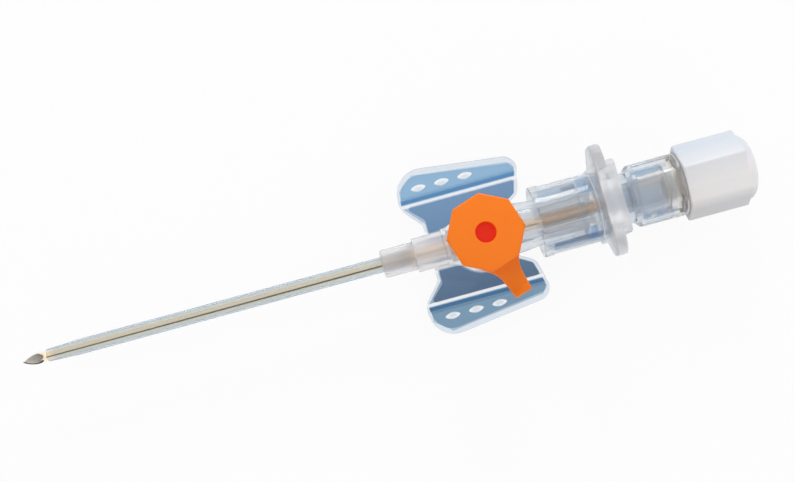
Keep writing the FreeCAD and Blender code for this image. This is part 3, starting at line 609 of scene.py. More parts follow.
class Shader(Nodes):
    """One material and its nodes."""

    def __init__(self, name):
        self.material = bpy.data.materials.new(name)
        self.material.use_nodes = True
        super().__init__(self.material.node_tree)
        self.tree.nodes.clear()
        self.output = self.node("ShaderNodeOutputMaterial")
        self.place = self.value("ShaderNodeTexCoord", output="Object")
        self.x, self.y, self.z = self.parts(self.place)

    def noise(self, scale, detail=2.0, roughness=0.5, stretch=None):
        """Soft noise over the piece, at features per metre, stretched for a pattern that runs one way."""
        place = self.place
        if stretch:
            place = self.value("ShaderNodeMapping", None, {"Vector": self.place, "Scale": stretch})
        return self.value("ShaderNodeTexNoise", None, {
            "Vector": place, "Scale": scale, "Detail": detail, "Roughness": roughness})

    def from_axis(self):
        """Distance from the cannula's axis."""
        height = self.z - AXIS
        return self.maths("SQRT", self.y * self.y + height * height)

    def shades(self, mask, colour_value, spread):
        """A colour that varies a little with a mask around its own value."""
        return self.blend(mask, tint(colour_value, 1 - spread), tint(colour_value, 1 + spread))

    def uneven(self, grain, smoothest, roughest):
        """A roughness that follows a noise."""
        return self.range(grain, 0.3, 0.7, smoothest, roughest)

    def bump(self, height, strength, distance):
        """A fine relief, its depth in millimetres."""
        return self.value("ShaderNodeBump", None, {
            "Height": height, "Strength": strength, "Distance": distance * MM})

    def surface(self, **inputs):
        """A surface with the given sockets set, each written as its name with underscores."""
        sockets = {}
        for name, value in inputs.items():
            sockets[SOCKETS.get(name, name.replace("_", " ").title())] = value
        return self.node("ShaderNodeBsdfPrincipled", None, sockets)

    def mix(self, factor, first, second):
        """A surface between two others."""
        made = self.node("ShaderNodeMixShader", None, {0: factor})
        self.tree.links.new(first.outputs[0], made.inputs[1])
        self.tree.links.new(second.outputs[0], made.inputs[2])
        return made

    def close(self, surface):
        """Send a surface to the material's output."""
        self.tree.links.new(surface.outputs[0], self.output.inputs["Surface"])
        return self.material


# Socket names that are not plain words in title case.
SOCKETS = {"ior": "IOR", "specular": "Specular IOR Level"}


def tint(colour_value, factor=1.0):
    """A colour made lighter or darker, with full alpha."""
    return tuple(min(1.0, channel * factor) for channel in colour_value[:3]) + (1.0,)


def dress(piece, material):
    """Give a piece one material."""
    piece.data.materials.clear()
    piece.data.materials.append(material)


def with_painted_edge_shade(shader, inner, colours, strength, start=0.45):
    """Clear plastic whose turned-away edges carry painted shade, looking bluer and denser."""
    turned = shader.value("ShaderNodeLayerWeight", None, {"Blend": 0.3}, output="Facing")
    edge = shader.surface(base_color=tint(colours.edge), roughness=0.12, transmission_weight=0.6, ior=1.3)
    return shader.mix(shader.range(turned, start, start + 0.5, 0.0, strength), inner, edge)


def clear_plastic(name, colour_value, roughness, colours, haze, bands, panels=False):
    """Clear moulded plastic with faint flow marks, milky where haze says so. Bands and panels carry painted
    light: backdrop blue seen through, highlight lines, shade and the steel's warm reflection.
    """
    shader = Shader(name)
    flow = shader.noise(420.0, 3.0, 0.55)
    base = shader.shades(flow, colour_value, 0.02)
    if panels:
        base = paint_panel_backdrop_and_light(shader, base, colours)
    # Each band lays painted backdrop blue, a painted highlight or the steel's painted reflection over the
    # base.
    for front, rear, low, high, tone, strength in bands:
        along = shader.rise(shader.x, front, front + 0.12, strength)
        along = along * shader.fall(shader.x, rear - 0.12, rear)
        across = shader.rise(shader.y, low, low + 0.15) * shader.fall(shader.y, high - 0.15, high)
        base = shader.blend(along * across, base, tint(getattr(colours, tone)))
    normal = shader.bump(shader.noise(700.0, stretch=(0.2, 1.0, 1.0)), 0.03, 0.03)
    clear = shader.surface(
        base_color=base,
        roughness=shader.uneven(flow, roughness * 0.7, roughness * 1.6),
        transmission_weight=0.88,
        ior=1.32,
        alpha=shader.range(shader.z, 1.0 * MM, 1.2 * MM, 1.0, 0.93),
        normal=normal,
    )
    milky = shader.surface(
        base_color=shader.shades(flow, colours.milk, 0.04),
        roughness=0.24,
        transmission_weight=0.55,
        ior=1.32,
        normal=normal,
    )
    return shader.close(with_painted_edge_shade(shader, shader.mix(haze(shader), clear, milky), colours, 0.75))


# Bands of painted light on the clear pieces: bluer where the backdrop seen through is painted, creamier
# where highlights are painted, and warm where the steel's reflection is painted. Columns: front, rear, low
# and high side in mm, colour and strength.
NEEDLE_HUB_PAINTED_BANDS = (
    (9.1, 16.4, -4.85, -3.6, "panel", 0.85),
    (9.1, 14.4, -4.45, -4.15, "painted_highlight_cream", 0.95),
    (14.6, 15.7, -4.3, -2.6, "crease", 0.6),
    (8.6, 14.2, 2.9, 4.05, "wing", 0.45),
    (14.3, 16.4, 1.9, 4.6, "wing", 0.55),
    (19.3, 21.6, -4.3, 4.3, "wing", 0.22),
    (8.6, 16.4, -0.95, 0.85, "warm", 0.75),
)
STOPPER_PAINTED_BANDS = (
    (21.9, 27.6, 2.6, 3.5, "wing", 0.75),
    (22.3, 27.6, -3.9, -2.9, "panel", 0.7),
    (23.6, 24.6, -3.7, -3.1, "painted_highlight_cream", 0.9),
    (26.0, 26.6, -3.7, -3.1, "painted_highlight_cream", 0.9),
    (27.7, 29.3, -4.6, 4.6, "painted_highlight_cream", 0.8),
    (22.6, 26.2, 0.8, 2.3, "painted_highlight_cream", 0.45),
    (26.4, 26.8, -2.7, 2.5, "painted_highlight_cream", 0.95),
)
HUB_PAINTED_BANDS = (
    (4.0, 8.6, -3.4, 3.4, "wing", 0.16),
    (3.0, 14.0, -0.95, 0.85, "warm", 0.6),
    (-14.9, -5.0, -1.1, 1.0, "warm", 0.6),
)


def hub_haze(shader):
    """The hub's nozzle is the milkiest, its barrel and port less so, and the wings are clear."""
    body = shader.maths("MAXIMUM", shader.fall(abs(shader.y), 2.6, 2.75), shader.rise(shader.z, 1.15, 1.25))
    return body * shader.range(shader.x, -4.0 * MM, 6.0 * MM, 0.5, 0.12)


def flange_haze(shader):
    """The needle hub's flange and boss are milkier than its guard."""
    rear = shader.range(shader.x, 19.1 * MM, 19.4 * MM, 0.62, 0.08)
    return 0.02 + shader.rise(shader.x, 16.3, 16.6) * rear


def chamber_haze(shader):
    """The stopper is clear, with a slightly milky rear."""
    return shader.range(shader.x, 25.0 * MM, 28.0 * MM, 0.04, 0.3)


# Edges of one wing seen from above: direction of the outer side, and how far in mm the panel reaches.
WING_EDGES = (
    ((0.124, 0.992), 10.71),
    ((-0.996, 0.090), 10.72),
    ((0.970, -0.243), 4.887),
    ((0.506, -0.863), -1.325),
    ((-0.627, 0.779), 13.87),
    ((0.818, 0.576), 11.05),
)
ROOT_EDGE = ((-0.754, -0.657), 2.77)


def paint_panel_backdrop_and_light(shader, base, colours):
    """The wings' panels take a painted blue of the backdrop seen through them, deeper inside the crease,
    with painted shade making them darker to one side. The rims stay pale as a painted highlight, and so do
    the ridge lines and bumps.
    """
    side = abs(shader.y)
    # Painted shade: the panels' blue darkens towards one side.
    near = shader.rise(shader.y, -9.0, 9.0)
    inner = shader.blend(near, tint(colours.panel, 0.5), tint(colours.panel, 1.12))
    fold = shader.blend(near, tint(colours.crease, 0.6), tint(colours.crease))
    outer = shader.blend(near, tint(colours.wing, 0.72), tint(colours.wing, 1.04))
    creased = shader.blend(shader.rise(side, 7.55, 7.65), inner, fold)
    panel = shader.blend(shader.rise(side, 8.15, 8.75), creased, outer)
    mask = shader.fall(shader.z, 0.86, 0.98) * shader.rise(side, 2.5, 2.9)
    for edge in WING_EDGES:
        mask = mask * inside_edge(shader, side, edge)
    beside = (side < 4.3 * MM) * shader.rise(shader.x, -7.5, -7.35)
    root = shader.maths("MAXIMUM", inside_edge(shader, side, ROOT_EDGE), beside)
    # The ridge line is left without the blue, as a painted highlight.
    ridge = shader.rise(side, 7.1, 7.2) * shader.fall(side, 7.55, 7.65)
    plain = (1.0 - ridge) * (1.0 - bump_highlight_mask(shader, side))
    # Painted highlight: the rims take the pale rim colour.
    rim = shader.rise(side, 3.0, 3.3) * shader.fall(shader.z, 1.3, 1.5)
    base = shader.blend(rim * plain, base, tint(colours.rim))
    return shader.blend(mask * root * plain, base, panel)


def bump_highlight_mask(shader, side):
    """The six leaf-shaped bumps, left pale as painted highlights, each with a painted darker middle."""
    row = shader.maths("WRAP", shader.x + 8.75 * MM, 3.5 * MM, 0.0)
    lengthwise = (row - 1.75 * MM) / (1.15 * MM)
    reach = lengthwise * lengthwise + abs((side - 9.6 * MM) / (0.5 * MM))
    leaf = shader.range(reach, 0.8, 1.1, 1.0, 0.0) * (1.0 - shader.range(reach, 0.15, 0.4, 0.35, 0.0))
    return leaf * (shader.x < 1.75 * MM) * (shader.x > -8.75 * MM)


def inside_edge(shader, side, edge):
    """One up to an edge's rim, and nothing beyond it."""
    (across, along), limit = edge
    return shader.fall(shader.x * across + side * along, limit - 0.06, limit + 0.04)


def orange_plastic(colours):
    """Orange moulding with a fine satin face, and painted shade: a deeper red inside the lid's recess."""
    shader = Shader("orange_plastic")
    grain = shader.noise(5200.0, 2.0, 0.6)
    cloud = shader.noise(260.0)
    radius = shader.maths("SQRT", shader.x * shader.x + shader.y * shader.y)
    # Mask of the painted shade inside the lid's recess.
    recess = shader.fall(radius, 1.40, 1.47) * (shader.z > AXIS + 7.0 * MM)
    lid = shader.shades(cloud, colours.orange, 0.04)
    body = shader.blend(shader.rise(radius, 4.9, 5.9), lid, tint(colours.tab))
    return shader.close(shader.surface(
        base_color=shader.blend(recess, body, tint(colours.recess)),
        roughness=shader.uneven(grain, 0.36, 0.5),
        specular=0.3,
        subsurface_weight=0.12,
        subsurface_scale=0.6 * MM,
        normal=shader.bump(grain, 0.10, 0.02),
    ))


def milky_tube(colours):
    """The soft tube: nearly clear, a little milky, with fine draw lines along it."""
    shader = Shader("milky_tube")
    lines = shader.noise(3000.0, stretch=(0.02, 1.0, 1.0))
    inner = shader.shades(shader.noise(300.0), colours.catheter, 0.03)
    surface = shader.surface(
        base_color=shader.blend(shader.rise(shader.from_axis(), 0.93, 0.97), inner, tint(colours.tube_skin)),
        roughness=shader.uneven(lines, 0.05, 0.12),
        transmission_weight=0.93,
        ior=1.36,
        normal=shader.bump(lines, 0.08, 0.01),
    )
    return shader.close(with_painted_edge_shade(shader, surface, colours, 0.95, 0.2))


def drawn_steel(colours):
    """Drawn steel tube with draw lines along it, and grinding lines across its bevel. Its bore is duller,
    and darker with painted shade.
    """
    shader = Shader("drawn_steel")
    lines = shader.noise(4200.0, 3.0, 0.6, (0.015, 1.0, 1.0))
    ground = shader.noise(6500.0, 2.0, 0.6, (1.0, 0.05, 1.0))
    bevelled = shader.x < NEEDLE_FRONT + 4.2 * MM
    marks = shader.value("ShaderNodeMix", {"data_type": "FLOAT"}, {0: bevelled, 2: lines, 3: ground})
    # Mask of the painted shade inside the needle's bore.
    inside = shader.fall(shader.from_axis(), 0.63, 0.66)
    return shader.close(shader.surface(
        base_color=shader.blend(inside, shader.shades(lines, colours.steel, 0.06), tint(colours.bore)),
        metallic=shader.range(inside, 0.0, 1.0, 1.0, 0.1),
        roughness=shader.uneven(marks, 0.06, 0.14) + inside * 0.4,
        normal=shader.bump(marks, 0.1, 0.005),
    ))


def satin_metal(colours):
    """The bush's dull bright metal."""
    shader = Shader("satin_metal")
    grain = shader.noise(5000.0, 2.0, 0.6)
    return shader.close(shader.surface(
        base_color=shader.shades(grain, colours.bush, 0.03),
        metallic=0.75,
        roughness=shader.uneven(grain, 0.34, 0.5),
        normal=shader.bump(grain, 0.05, 0.005),
    ))


def plain_plastic(name, colour_value, roughness, grain_scale, depth):
    """Opaque moulded plastic with a fine grain and a slight translucence."""
    shader = Shader(name)
    grain = shader.noise(grain_scale, 2.0, 0.6)
    return shader.close(shader.surface(
        base_color=shader.shades(shader.noise(240.0), colour_value, 0.02),
        roughness=shader.uneven(grain, roughness * 0.85, roughness * 1.2),
        subsurface_weight=depth,
        subsurface_scale=0.8 * MM,
        normal=shader.bump(grain, 0.12, 0.02),
    ))


def white_plastic(colours):
    """The cap's white plastic: slightly translucent, with painted cooler, dimmer light on the far side,
    painted shade on the near side, and faint lines along it.
    """
    shader = Shader("white_plastic")
    grain = shader.noise(4200.0, 2.0, 0.6)
    lines = shader.noise(900.0, stretch=(0.08, 1.0, 1.0))
    # Painted shade: the near side darkens.
    low = shader.fall(shader.y, -4.4, -3.1)
    warm = shader.blend(low, shader.shades(lines, colours.white, 0.03), tint(colours.white_painted_shade))
    return shader.close(shader.surface(
        # Painted light: the far side turns cooler and dimmer.
        base_color=shader.blend(shader.rise(shader.y, -1.0, 4.5), warm, tint(colours.white_painted_far_light)),
        roughness=shader.uneven(grain, 0.34, 0.48),
        subsurface_weight=0.15,
        subsurface_scale=0.8 * MM,
        normal=shader.bump(lines, 0.1, 0.03),
    ))


class CannulaOperator:
    """What the operators share."""

    bl_options = {"REGISTER", "UNDO"}


class CANNULA_OT_stage(CannulaOperator, bpy.types.Operator):
    """Floor, lights, world and the photograph's camera."""

    bl_idname = "cannula.stage"
    bl_label = "Stage"

    def execute(self, context):
        make_floor()
        make_world()
        make_lights()
        make_camera()
        return {"FINISHED"}


WHITE = (1.0, 1.0, 1.0, 1.0)


def make_floor():
    """A plain pale floor under the lowest point of the part."""
    clear_selection()
    bpy.ops.mesh.primitive_plane_add(size=4.0, location=(0, 0, cad_low.z - 0.05 * MM))
    floor = bpy.context.object
    floor.name = "floor"
    shader = Shader("pale_floor")
    pale = shader.shades(shader.noise(20.0), (0.86, 0.86, 0.86), 0.01)
    matte = shader.surface(base_color=pale, roughness=0.9)
    glow = shader.node("ShaderNodeEmission", None, {"Color": WHITE, "Strength": 1.0})
    glow_share = 0.92
    seen = shader.rays("Camera", "Glossy", "Transmission")
    dress(floor, shader.close(shader.mix(seen * glow_share, matte, glow)))


# The room that metal and gloss see, from the near side to the far side.
ROOM = (
    (0.000, (0.92, 0.90, 0.83)),
    (0.130, (0.90, 0.86, 0.76)),
    (0.180, (0.06, 0.045, 0.035)),
    (0.390, (0.06, 0.045, 0.035)),
    (0.430, (1.00, 0.83, 0.62)),
    (0.720, (1.00, 0.84, 0.68)),
    (0.900, (0.86, 0.78, 0.69)),
    (0.955, (1.00, 0.97, 0.93)),
    (1.000, (1.00, 1.00, 1.00)),
)
REAR_ROOM = (
    (0.000, (0.84, 0.88, 0.93)),
    (0.450, (0.86, 0.84, 0.82)),
    (0.700, (0.88, 0.86, 0.84)),
    (1.000, (0.92, 0.95, 1.00)),
)


def make_world():
    """An even pale surround. Metal and gloss see a room in it, with a dark strip towards the front."""
    world = bpy.data.worlds.new("surround")
    bpy.context.scene.world = world
    world.use_nodes = True
    nodes = Nodes(world.node_tree)
    direction = nodes.parts(nodes.value("ShaderNodeTexCoord", output="Generated"))
    rear = nodes.range(direction[0], 0.0, 0.06, 0.0, 1.0)
    across = nodes.range(direction[1], -1.0, 1.0, 0.0, 1.0)
    room = nodes.blend(rear, nodes.ramp(across, ROOM), nodes.ramp(across, REAR_ROOM))
    shown = nodes.blend(nodes.rays("Glossy", "Transmission"), (0.74, 0.74, 0.76, 1.0), room)
    shown = nodes.blend(nodes.rays("Camera"), shown, WHITE)
    nodes.tree.links.new(shown.socket, nodes.tree.nodes["Background"].inputs["Color"])


def make_lights():
    """A key from the far side, a weaker fill from the near side and two small lamps that light edges."""
    for name, place, size, power in (
        ("key", (0.09, 0.40, 0.17), 0.13, 0.65),
        ("fill", (0.05, -0.42, 0.12), 0.24, 0.2),
        ("rear_edge", (0.40, 0.06, 0.22), 0.09, 0.12),
        ("front_edge", (-0.34, 0.10, 0.24), 0.09, 0.12),
    ):
        clear_selection()
        bpy.ops.object.light_add(type="AREA", location=place)
        lamp = bpy.context.object
        lamp.name = name
        lamp.data.size = size
        lamp.data.energy = power
        lamp.visible_transmission = False
        aim = Vector((0, 0, AXIS)) - Vector(place)
        lamp.rotation_euler = aim.to_track_quat("-Z", "Y").to_euler()


def make_camera():
    """The photograph's camera: nearly straight above, a little to the near side."""
    clear_selection()
    bpy.ops.object.camera_add()
    camera = bpy.context.object
    camera.name = "camera"
    lean = Matrix.Rotation(math.radians(4.5), 4, "X")
    twist = Matrix.Rotation(math.radians(-15.2), 4, "Z")
    place = Matrix.Translation(Vector((-12.0, 2.7, 186.0)) * MM)
    lift = Matrix.Translation(Vector((0, 0, AXIS)))
    camera.matrix_world = lift @ lean @ place @ twist
    camera.data.sensor_width = 36.0
    camera.data.lens = 59.0
    camera.data.clip_start = 0.01
    camera.data.clip_end = 10.0
    bpy.context.scene.camera = camera
    bpy.context.scene.view_settings.view_transform = "Standard"


class CANNULA_OT_catheter(CannulaOperator, bpy.types.Operator):
    """The soft tube, its metal bush and the valve sleeve."""

    bl_idname = "cannula.catheter"
    bl_label = "Catheter, bush and sleeve"

    def execute(self, context):
        sizes = context.scene.cannula_tubes
        colours = context.scene.cannula_finish
        wall = sizes.tube_radius - sizes.tube_bore
        flare_end = -sizes.flare_front + sizes.flare_cone
        tube = turn("catheter", [
            (TUBE_FRONT, sizes.tube_bore),
            (TUBE_FRONT, sizes.tip_radius, 0.04 * MM),
            (TUBE_FRONT + sizes.taper, sizes.tube_radius, 12.0 * MM),
            (-sizes.flare_front, sizes.tube_radius),
            (flare_end, sizes.flare_radius),
            (TUBE_REAR, sizes.flare_radius),
            (TUBE_REAR, sizes.flare_radius - wall),
            (flare_end, sizes.flare_radius - wall),
            (-sizes.flare_front, sizes.tube_bore),
        ], closed=True, steps=SMALL)
        smooth(tube)
        hand_in(tube, milky_tube(colours), "hub", "catheter", "catheter_tube")
        bush_radius = sizes.bush_bore + sizes.bush_wall
        funnel = TUBE_REAR + 0.1 * MM
        funnel_end = funnel + sizes.bush_funnel
        flange_inner = sizes.bush_flange - sizes.bush_wall
        bush = turn("crimp_bush", [
            (BUSH_FRONT, sizes.bush_bore),
            (BUSH_FRONT, bush_radius),
            (funnel, bush_radius),
            (funnel_end, sizes.bush_flange),
            (BUSH_REAR, sizes.bush_flange),
            (BUSH_REAR, flange_inner),
            (funnel_end, flange_inner),
            (funnel, sizes.bush_bore),
        ], closed=True, steps=SMALL)
        smooth(bush)
        hand_in(bush, satin_metal(colours), "hub", "steel", "catheter_bush")
        sleeve = turn("valve", [
            (SLEEVE_FRONT, sizes.sleeve_bore, 0.1 * MM),
            (SLEEVE_FRONT, sizes.sleeve_radius, 0.1 * MM),
            (SLEEVE_REAR, sizes.sleeve_radius, 0.1 * MM),
            (SLEEVE_REAR, sizes.sleeve_bore, 0.1 * MM),
        ], closed=True, steps=SMALL)
        smooth(sleeve)
        silicone = plain_plastic("silicone", colours.silicone, 0.45, 3000.0, 0.4)
        return hand_in(sleeve, silicone, "hub", "silicone", "valve_sleeve")


class CANNULA_OT_hub(CannulaOperator, bpy.types.Operator):
    """The clear moulding: wings, nozzle, barrel and port."""

    bl_idname = "cannula.hub"
    bl_label = "Catheter hub and wings"

    def execute(self, context):
        sizes = context.scene.cannula_hub
        colours = context.scene.cannula_finish
        hub = make_wings(sizes)
        fuse(hub, make_saddle(), make_barrel(sizes), make_port(sizes))
        fuse(hub, *make_lugs("hub_lug", sizes, HUB_REAR - sizes.lug_setback - sizes.lug_length))
        cut(hub, make_hub_bore(sizes, context.scene.cannula_tubes), make_port_bore(sizes))
        smooth(hub)
        clear = clear_plastic("clear_hub", colours.hub, 0.04, colours, hub_haze, HUB_PAINTED_BANDS, panels=True)
        return hand_in(hub, clear, "hub", "clear_hub", "catheter_hub")


# Corners of one wing seen from above, from the nozzle round the outside to the barrel.
WAIST_X, WAIST_Y = -7.8 * MM, 4.2 * MM
KNEE_X, KNEE_Y = -10.5 * MM, 7.3 * MM
FRONT_X, FRONT_Y = -10.0 * MM, 12.8 * MM
REAR_X, REAR_Y = 8.0 * MM, 10.55 * MM
REAR_KNEE_X, REAR_KNEE_Y = 7.3 * MM, 7.4 * MM
ROOT_X, ROOT_Y = 6.7 * MM, 5.0 * MM
END_X, END_Y = 3.8 * MM, 3.3 * MM


def make_wings(sizes):
    """Both wings with rounded rims, thin panels, ridges, creases and grip bumps."""
    plan = [
        (WAIST_X, WAIST_Y, 1.0 * MM),
        (KNEE_X, KNEE_Y, 2.6 * MM),
        (FRONT_X, FRONT_Y, 3.8 * MM),
        (REAR_X, REAR_Y, 2.0 * MM),
        (REAR_KNEE_X, REAR_KNEE_Y, 0.6 * MM),
        (ROOT_X, ROOT_Y, 1.6 * MM),
        (END_X, END_Y),
    ]
    wings = slab("hub_and_wings", both_sides(plan), 0.0, sizes.rim_height, steps=12)
    rim = sizes.rim_width
    inner = [
        (WAIST_X + rim, WAIST_Y + rim, 1.0 * MM),
        (KNEE_X + rim * 1.4, sizes.ridge, 0.4 * MM),
        (REAR_KNEE_X - rim, sizes.ridge, 0.4 * MM),
        (ROOT_X - rim, ROOT_Y + rim * 0.3, MM),
        (END_X - rim, END_Y),
    ]
    inner_cutter = slab("inner_cutter", both_sides(inner), sizes.panel_height, sizes.rim_height + MM)
    inside = sizes.crease + sizes.crease_radius
    outer = [
        (KNEE_X + rim, inside, 0.2 * MM),
        (FRONT_X + rim, FRONT_Y - sizes.edge_width, 3.0 * MM),
        (REAR_X - rim, REAR_Y - sizes.edge_width, 0.7 * MM),
        (REAR_KNEE_X - rim * 0.5, inside, 0.1 * MM),
    ]
    cut(wings, inner_cutter)
    for side_outline in (outer, mirrored(outer)):
        cut(wings, slab("outer_cutter", side_outline, sizes.outer_height, sizes.rim_height + MM, steps=8))
    for side in (1, -1):
        place = (-MM, side * sizes.crease, sizes.rim_height + 0.02 * MM)
        cut(wings, cylinder("crease_cutter", 32, sizes.crease_radius, 24 * MM, place, (0, math.pi / 2, 0)))
    soften(wings, 0.2 * MM, sharper_than=50.0)
    for side in (1, -1):
        for number in range(3):
            fuse(wings, make_bump(sizes, side, number))
    return wings


def make_bump(sizes, side, number):
    """One low oval bump on an outer panel."""
    clear_selection()
    x = number * sizes.bump_pitch - sizes.bump_first
    place = (x, side * sizes.bump_row, sizes.outer_height - 0.02 * MM)
    bpy.ops.mesh.primitive_uv_sphere_add(segments=32, ring_count=16, radius=MM, location=place,
                                         scale=(1.1, 0.42, 0.3))
    bump = bpy.context.object
    settle(bump)
    return bump


def make_saddle():
    """The web that joins the nozzle to the wings."""
    half = 1.6 * MM
    rear = 5.0 * MM
    return slab("saddle", both_sides([(WAIST_X, half), (rear, half)]), 0.0, AXIS - 1.45 * MM)


def make_barrel(sizes):
    """Nozzle, stepped base, band, barrel and tail, turned in one."""
    nozzle_rear = HUB_FRONT + sizes.nozzle_length
    collar_front = nozzle_rear + sizes.base_length
    collar_rear = collar_front + sizes.collar_length
    return turn("barrel", [
        (HUB_FRONT, 0),
        (HUB_FRONT, sizes.nozzle_radius, sizes.nozzle_round),
        (nozzle_rear, sizes.nozzle_radius, 0.08 * MM),
        (nozzle_rear, sizes.base_radius, 0.25 * MM),
        (collar_front, sizes.base_radius, 0.06 * MM),
        (collar_front, sizes.collar_radius, 0.08 * MM),
        (collar_rear, sizes.collar_radius, 0.08 * MM),
        (-sizes.barrel_front, sizes.barrel_radius, 0.5 * MM),
        (sizes.barrel_rear, sizes.barrel_radius, 1.0 * MM),
        (sizes.tail_start, sizes.tail_radius, 1.0 * MM),
        (HUB_REAR, sizes.tail_radius, 0.3 * MM),
        (HUB_REAR, 0),
    ])


def make_port(sizes):
    """The upright port with its foot, cone, neck and rim."""
    return turn("port", [
        (0, -AXIS),
        (sizes.port_base_radius, -AXIS, 0.1 * MM),
        (sizes.port_base_radius, sizes.port_base_top, 0.45 * MM),
        (sizes.port_neck_radius, sizes.port_cone_top, 0.4 * MM),
        (sizes.port_neck_radius, sizes.rim_bottom, 0.1 * MM),
        (sizes.rim_radius, sizes.rim_bottom, 0.1 * MM),
        (sizes.rim_radius, sizes.port_top, 0.3 * MM),
        (0, sizes.port_top),
    ], upright=True)


def make_lugs(name, sizes, front):
    """Two opposite lock lugs."""
    half = sizes.lug_width / 2
    shoulder = sizes.lug_radius - 0.5 * MM
    inner = 2.6 * MM
    lugs = []
    for side in (1, -1):
        outline = [
            (side * inner, -half),
            (side * shoulder, -half, 0.2 * MM),
            (side * sizes.lug_radius, -half / 2, 0.3 * MM),
            (side * sizes.lug_radius, half / 2, 0.3 * MM),
            (side * shoulder, half, 0.2 * MM),
            (side * inner, half),
        ]
        lugs.append(slab("%s_%d" % (name, side), outline, front, front + sizes.lug_length, along_x=True))
    return lugs


def make_hub_bore(sizes, tubes):
    """The space inside the hub, from the nozzle to the mouth of the socket."""
    seat = 0.05 * MM
    mouth = HUB_REAR + MM
    sleeve_end = SLEEVE_REAR + seat
    flare_end = -tubes.flare_front + tubes.flare_cone
    return turn("hub_bore", [
        (HUB_FRONT - MM, 0),
        (HUB_FRONT - MM, tubes.tube_radius + APART),
        (-tubes.flare_front, tubes.tube_radius + APART),
        (flare_end, tubes.flare_radius + APART),
        (TUBE_REAR + seat, tubes.flare_radius + APART),
        (TUBE_REAR + seat, tubes.bush_flange + APART),
        (BUSH_REAR + seat, tubes.bush_flange + APART),
        (BUSH_REAR + seat, sizes.channel_radius),
        (SLEEVE_FRONT - seat, sizes.channel_radius),
        (SLEEVE_FRONT - seat, tubes.sleeve_radius + APART),
        (sleeve_end, tubes.sleeve_radius + APART),
        (sleeve_end, socket_at(sizes, sleeve_end)),
        (mouth, socket_at(sizes, mouth)),
        (mouth, 0),
    ])


def socket_at(sizes, x):
    """Radius of the hub's tapered socket at a place along X."""
    return sizes.socket_radius - (HUB_REAR - x) * CONE_RATE


def make_port_bore(sizes):
    """The tapered bore of the port and the hole in its floor."""
    depth = sizes.port_top - sizes.port_floor
    return turn("port_bore", [
        (0, 0),
        (sizes.port_hole, 0),
        (sizes.port_hole, sizes.port_floor),
        (sizes.port_bore - depth * CONE_RATE, sizes.port_floor, 0.2 * MM),
        (sizes.port_bore, sizes.port_top - 0.25 * MM),
        (sizes.port_bore + 1.25 * MM, sizes.port_top + MM),
        (0, sizes.port_top + MM),
    ], upright=True, steps=SMALL)


class CANNULA_OT_port_cap(CannulaOperator, bpy.types.Operator):
    """The orange cap: swivel ring, and lid with skirt, plug and thumb tab."""

    bl_idname = "cannula.port_cap"
    bl_label = "Port cap"

    def execute(self, context):
        sizes = context.scene.cannula_cap
        material = orange_plastic(context.scene.cannula_finish)
        hand_in(make_ring(sizes), material, "cap_ring", "orange", "cap_ring")
        return hand_in(make_lid(sizes), material, "lid", "orange", "port_cap")


def make_ring(sizes):
    """The ring on the port's neck with the lip under the hinge."""
    ring_top = sizes.ring_bottom + sizes.ring_height
    ring = turn("swivel_ring", [
        (sizes.ring_bore, sizes.ring_bottom, 0.08 * MM),
        (sizes.ring_radius, sizes.ring_bottom, 0.25 * MM),
        (sizes.ring_radius, ring_top, 0.25 * MM),
        (sizes.ring_bore, ring_top, 0.08 * MM),
    ], closed=True, upright=True, steps=SMALL)
    half = sizes.hinge_width / 2
    outer = sizes.hinge_reach + sizes.hinge_radius
    inner = sizes.ring_bore + 0.5 * MM
    top = sizes.hinge_height - sizes.hinge_radius - 0.05 * MM
    lip = slab("ring_lip", [(-outer, -half), (-inner, -half), (-inner, half), (-outer, half)],
               AXIS + sizes.ring_bottom + 0.02 * MM, AXIS + top)
    soften(lip, 0.15 * MM)
    fuse(ring, lip)
    smooth(ring)
    turn_to_tab(ring, sizes)
    return ring


def turn_to_tab(piece, sizes):
    """Turn a piece drawn with the tab along X to the tab's direction."""
    choose(piece)
    piece.rotation_euler.z = sizes.lid_azimuth
    settle(piece)


def make_lid(sizes):
    """Eight-sided lid, skirt, plug, tab and the hinge's rounded edge."""
    top = sizes.lid_bottom + sizes.lid_thick
    inside = sizes.lid_bottom + 0.2 * MM
    middle = (0, 0, AXIS + sizes.lid_bottom + sizes.lid_thick / 2)
    lid = cylinder("lid_and_tab", 8, sizes.lid_radius, sizes.lid_thick, middle, (0, 0, math.pi / 8))
    soften(lid, 0.26 * MM, segments=4)
    skirt = turn("skirt", [
        (sizes.skirt_bore, sizes.skirt_bottom, 0.1 * MM),
        (sizes.skirt_radius, sizes.skirt_bottom, 0.2 * MM),
        (sizes.skirt_radius, inside),
        (sizes.skirt_bore, inside),
    ], closed=True, upright=True)
    plug_bottom = sizes.lid_bottom - sizes.plug_length
    plug = turn("plug", [
        (0, plug_bottom),
        (sizes.plug_end, plug_bottom, 0.25 * MM),
        (sizes.plug_top, sizes.lid_bottom),
        (sizes.plug_top, inside),
        (0, inside),
    ], upright=True, steps=SMALL)
    tab = make_tab()
    space_radius = sizes.skirt_bore + 0.2 * MM
    cut(tab, turn("skirt_space", [
        (0, sizes.skirt_bottom - MM),
        (space_radius, sizes.skirt_bottom - MM),
        (space_radius, sizes.lid_bottom + MM),
        (0, sizes.lid_bottom + MM),
    ], upright=True))
    fuse(lid, skirt, plug, tab, make_knuckle(sizes))
    recess_floor = top - sizes.recess_depth
    cut(lid, turn("recess_space", [
        (0, recess_floor),
        (sizes.recess_radius, recess_floor, 0.2 * MM),
        (sizes.recess_radius, top - 0.08 * MM),
        (sizes.recess_radius + 1.08 * MM, top + MM),
        (0, top + MM),
    ], upright=True, steps=SMALL))
    smooth(lid)
    turn_to_tab(lid, sizes)
    return lid


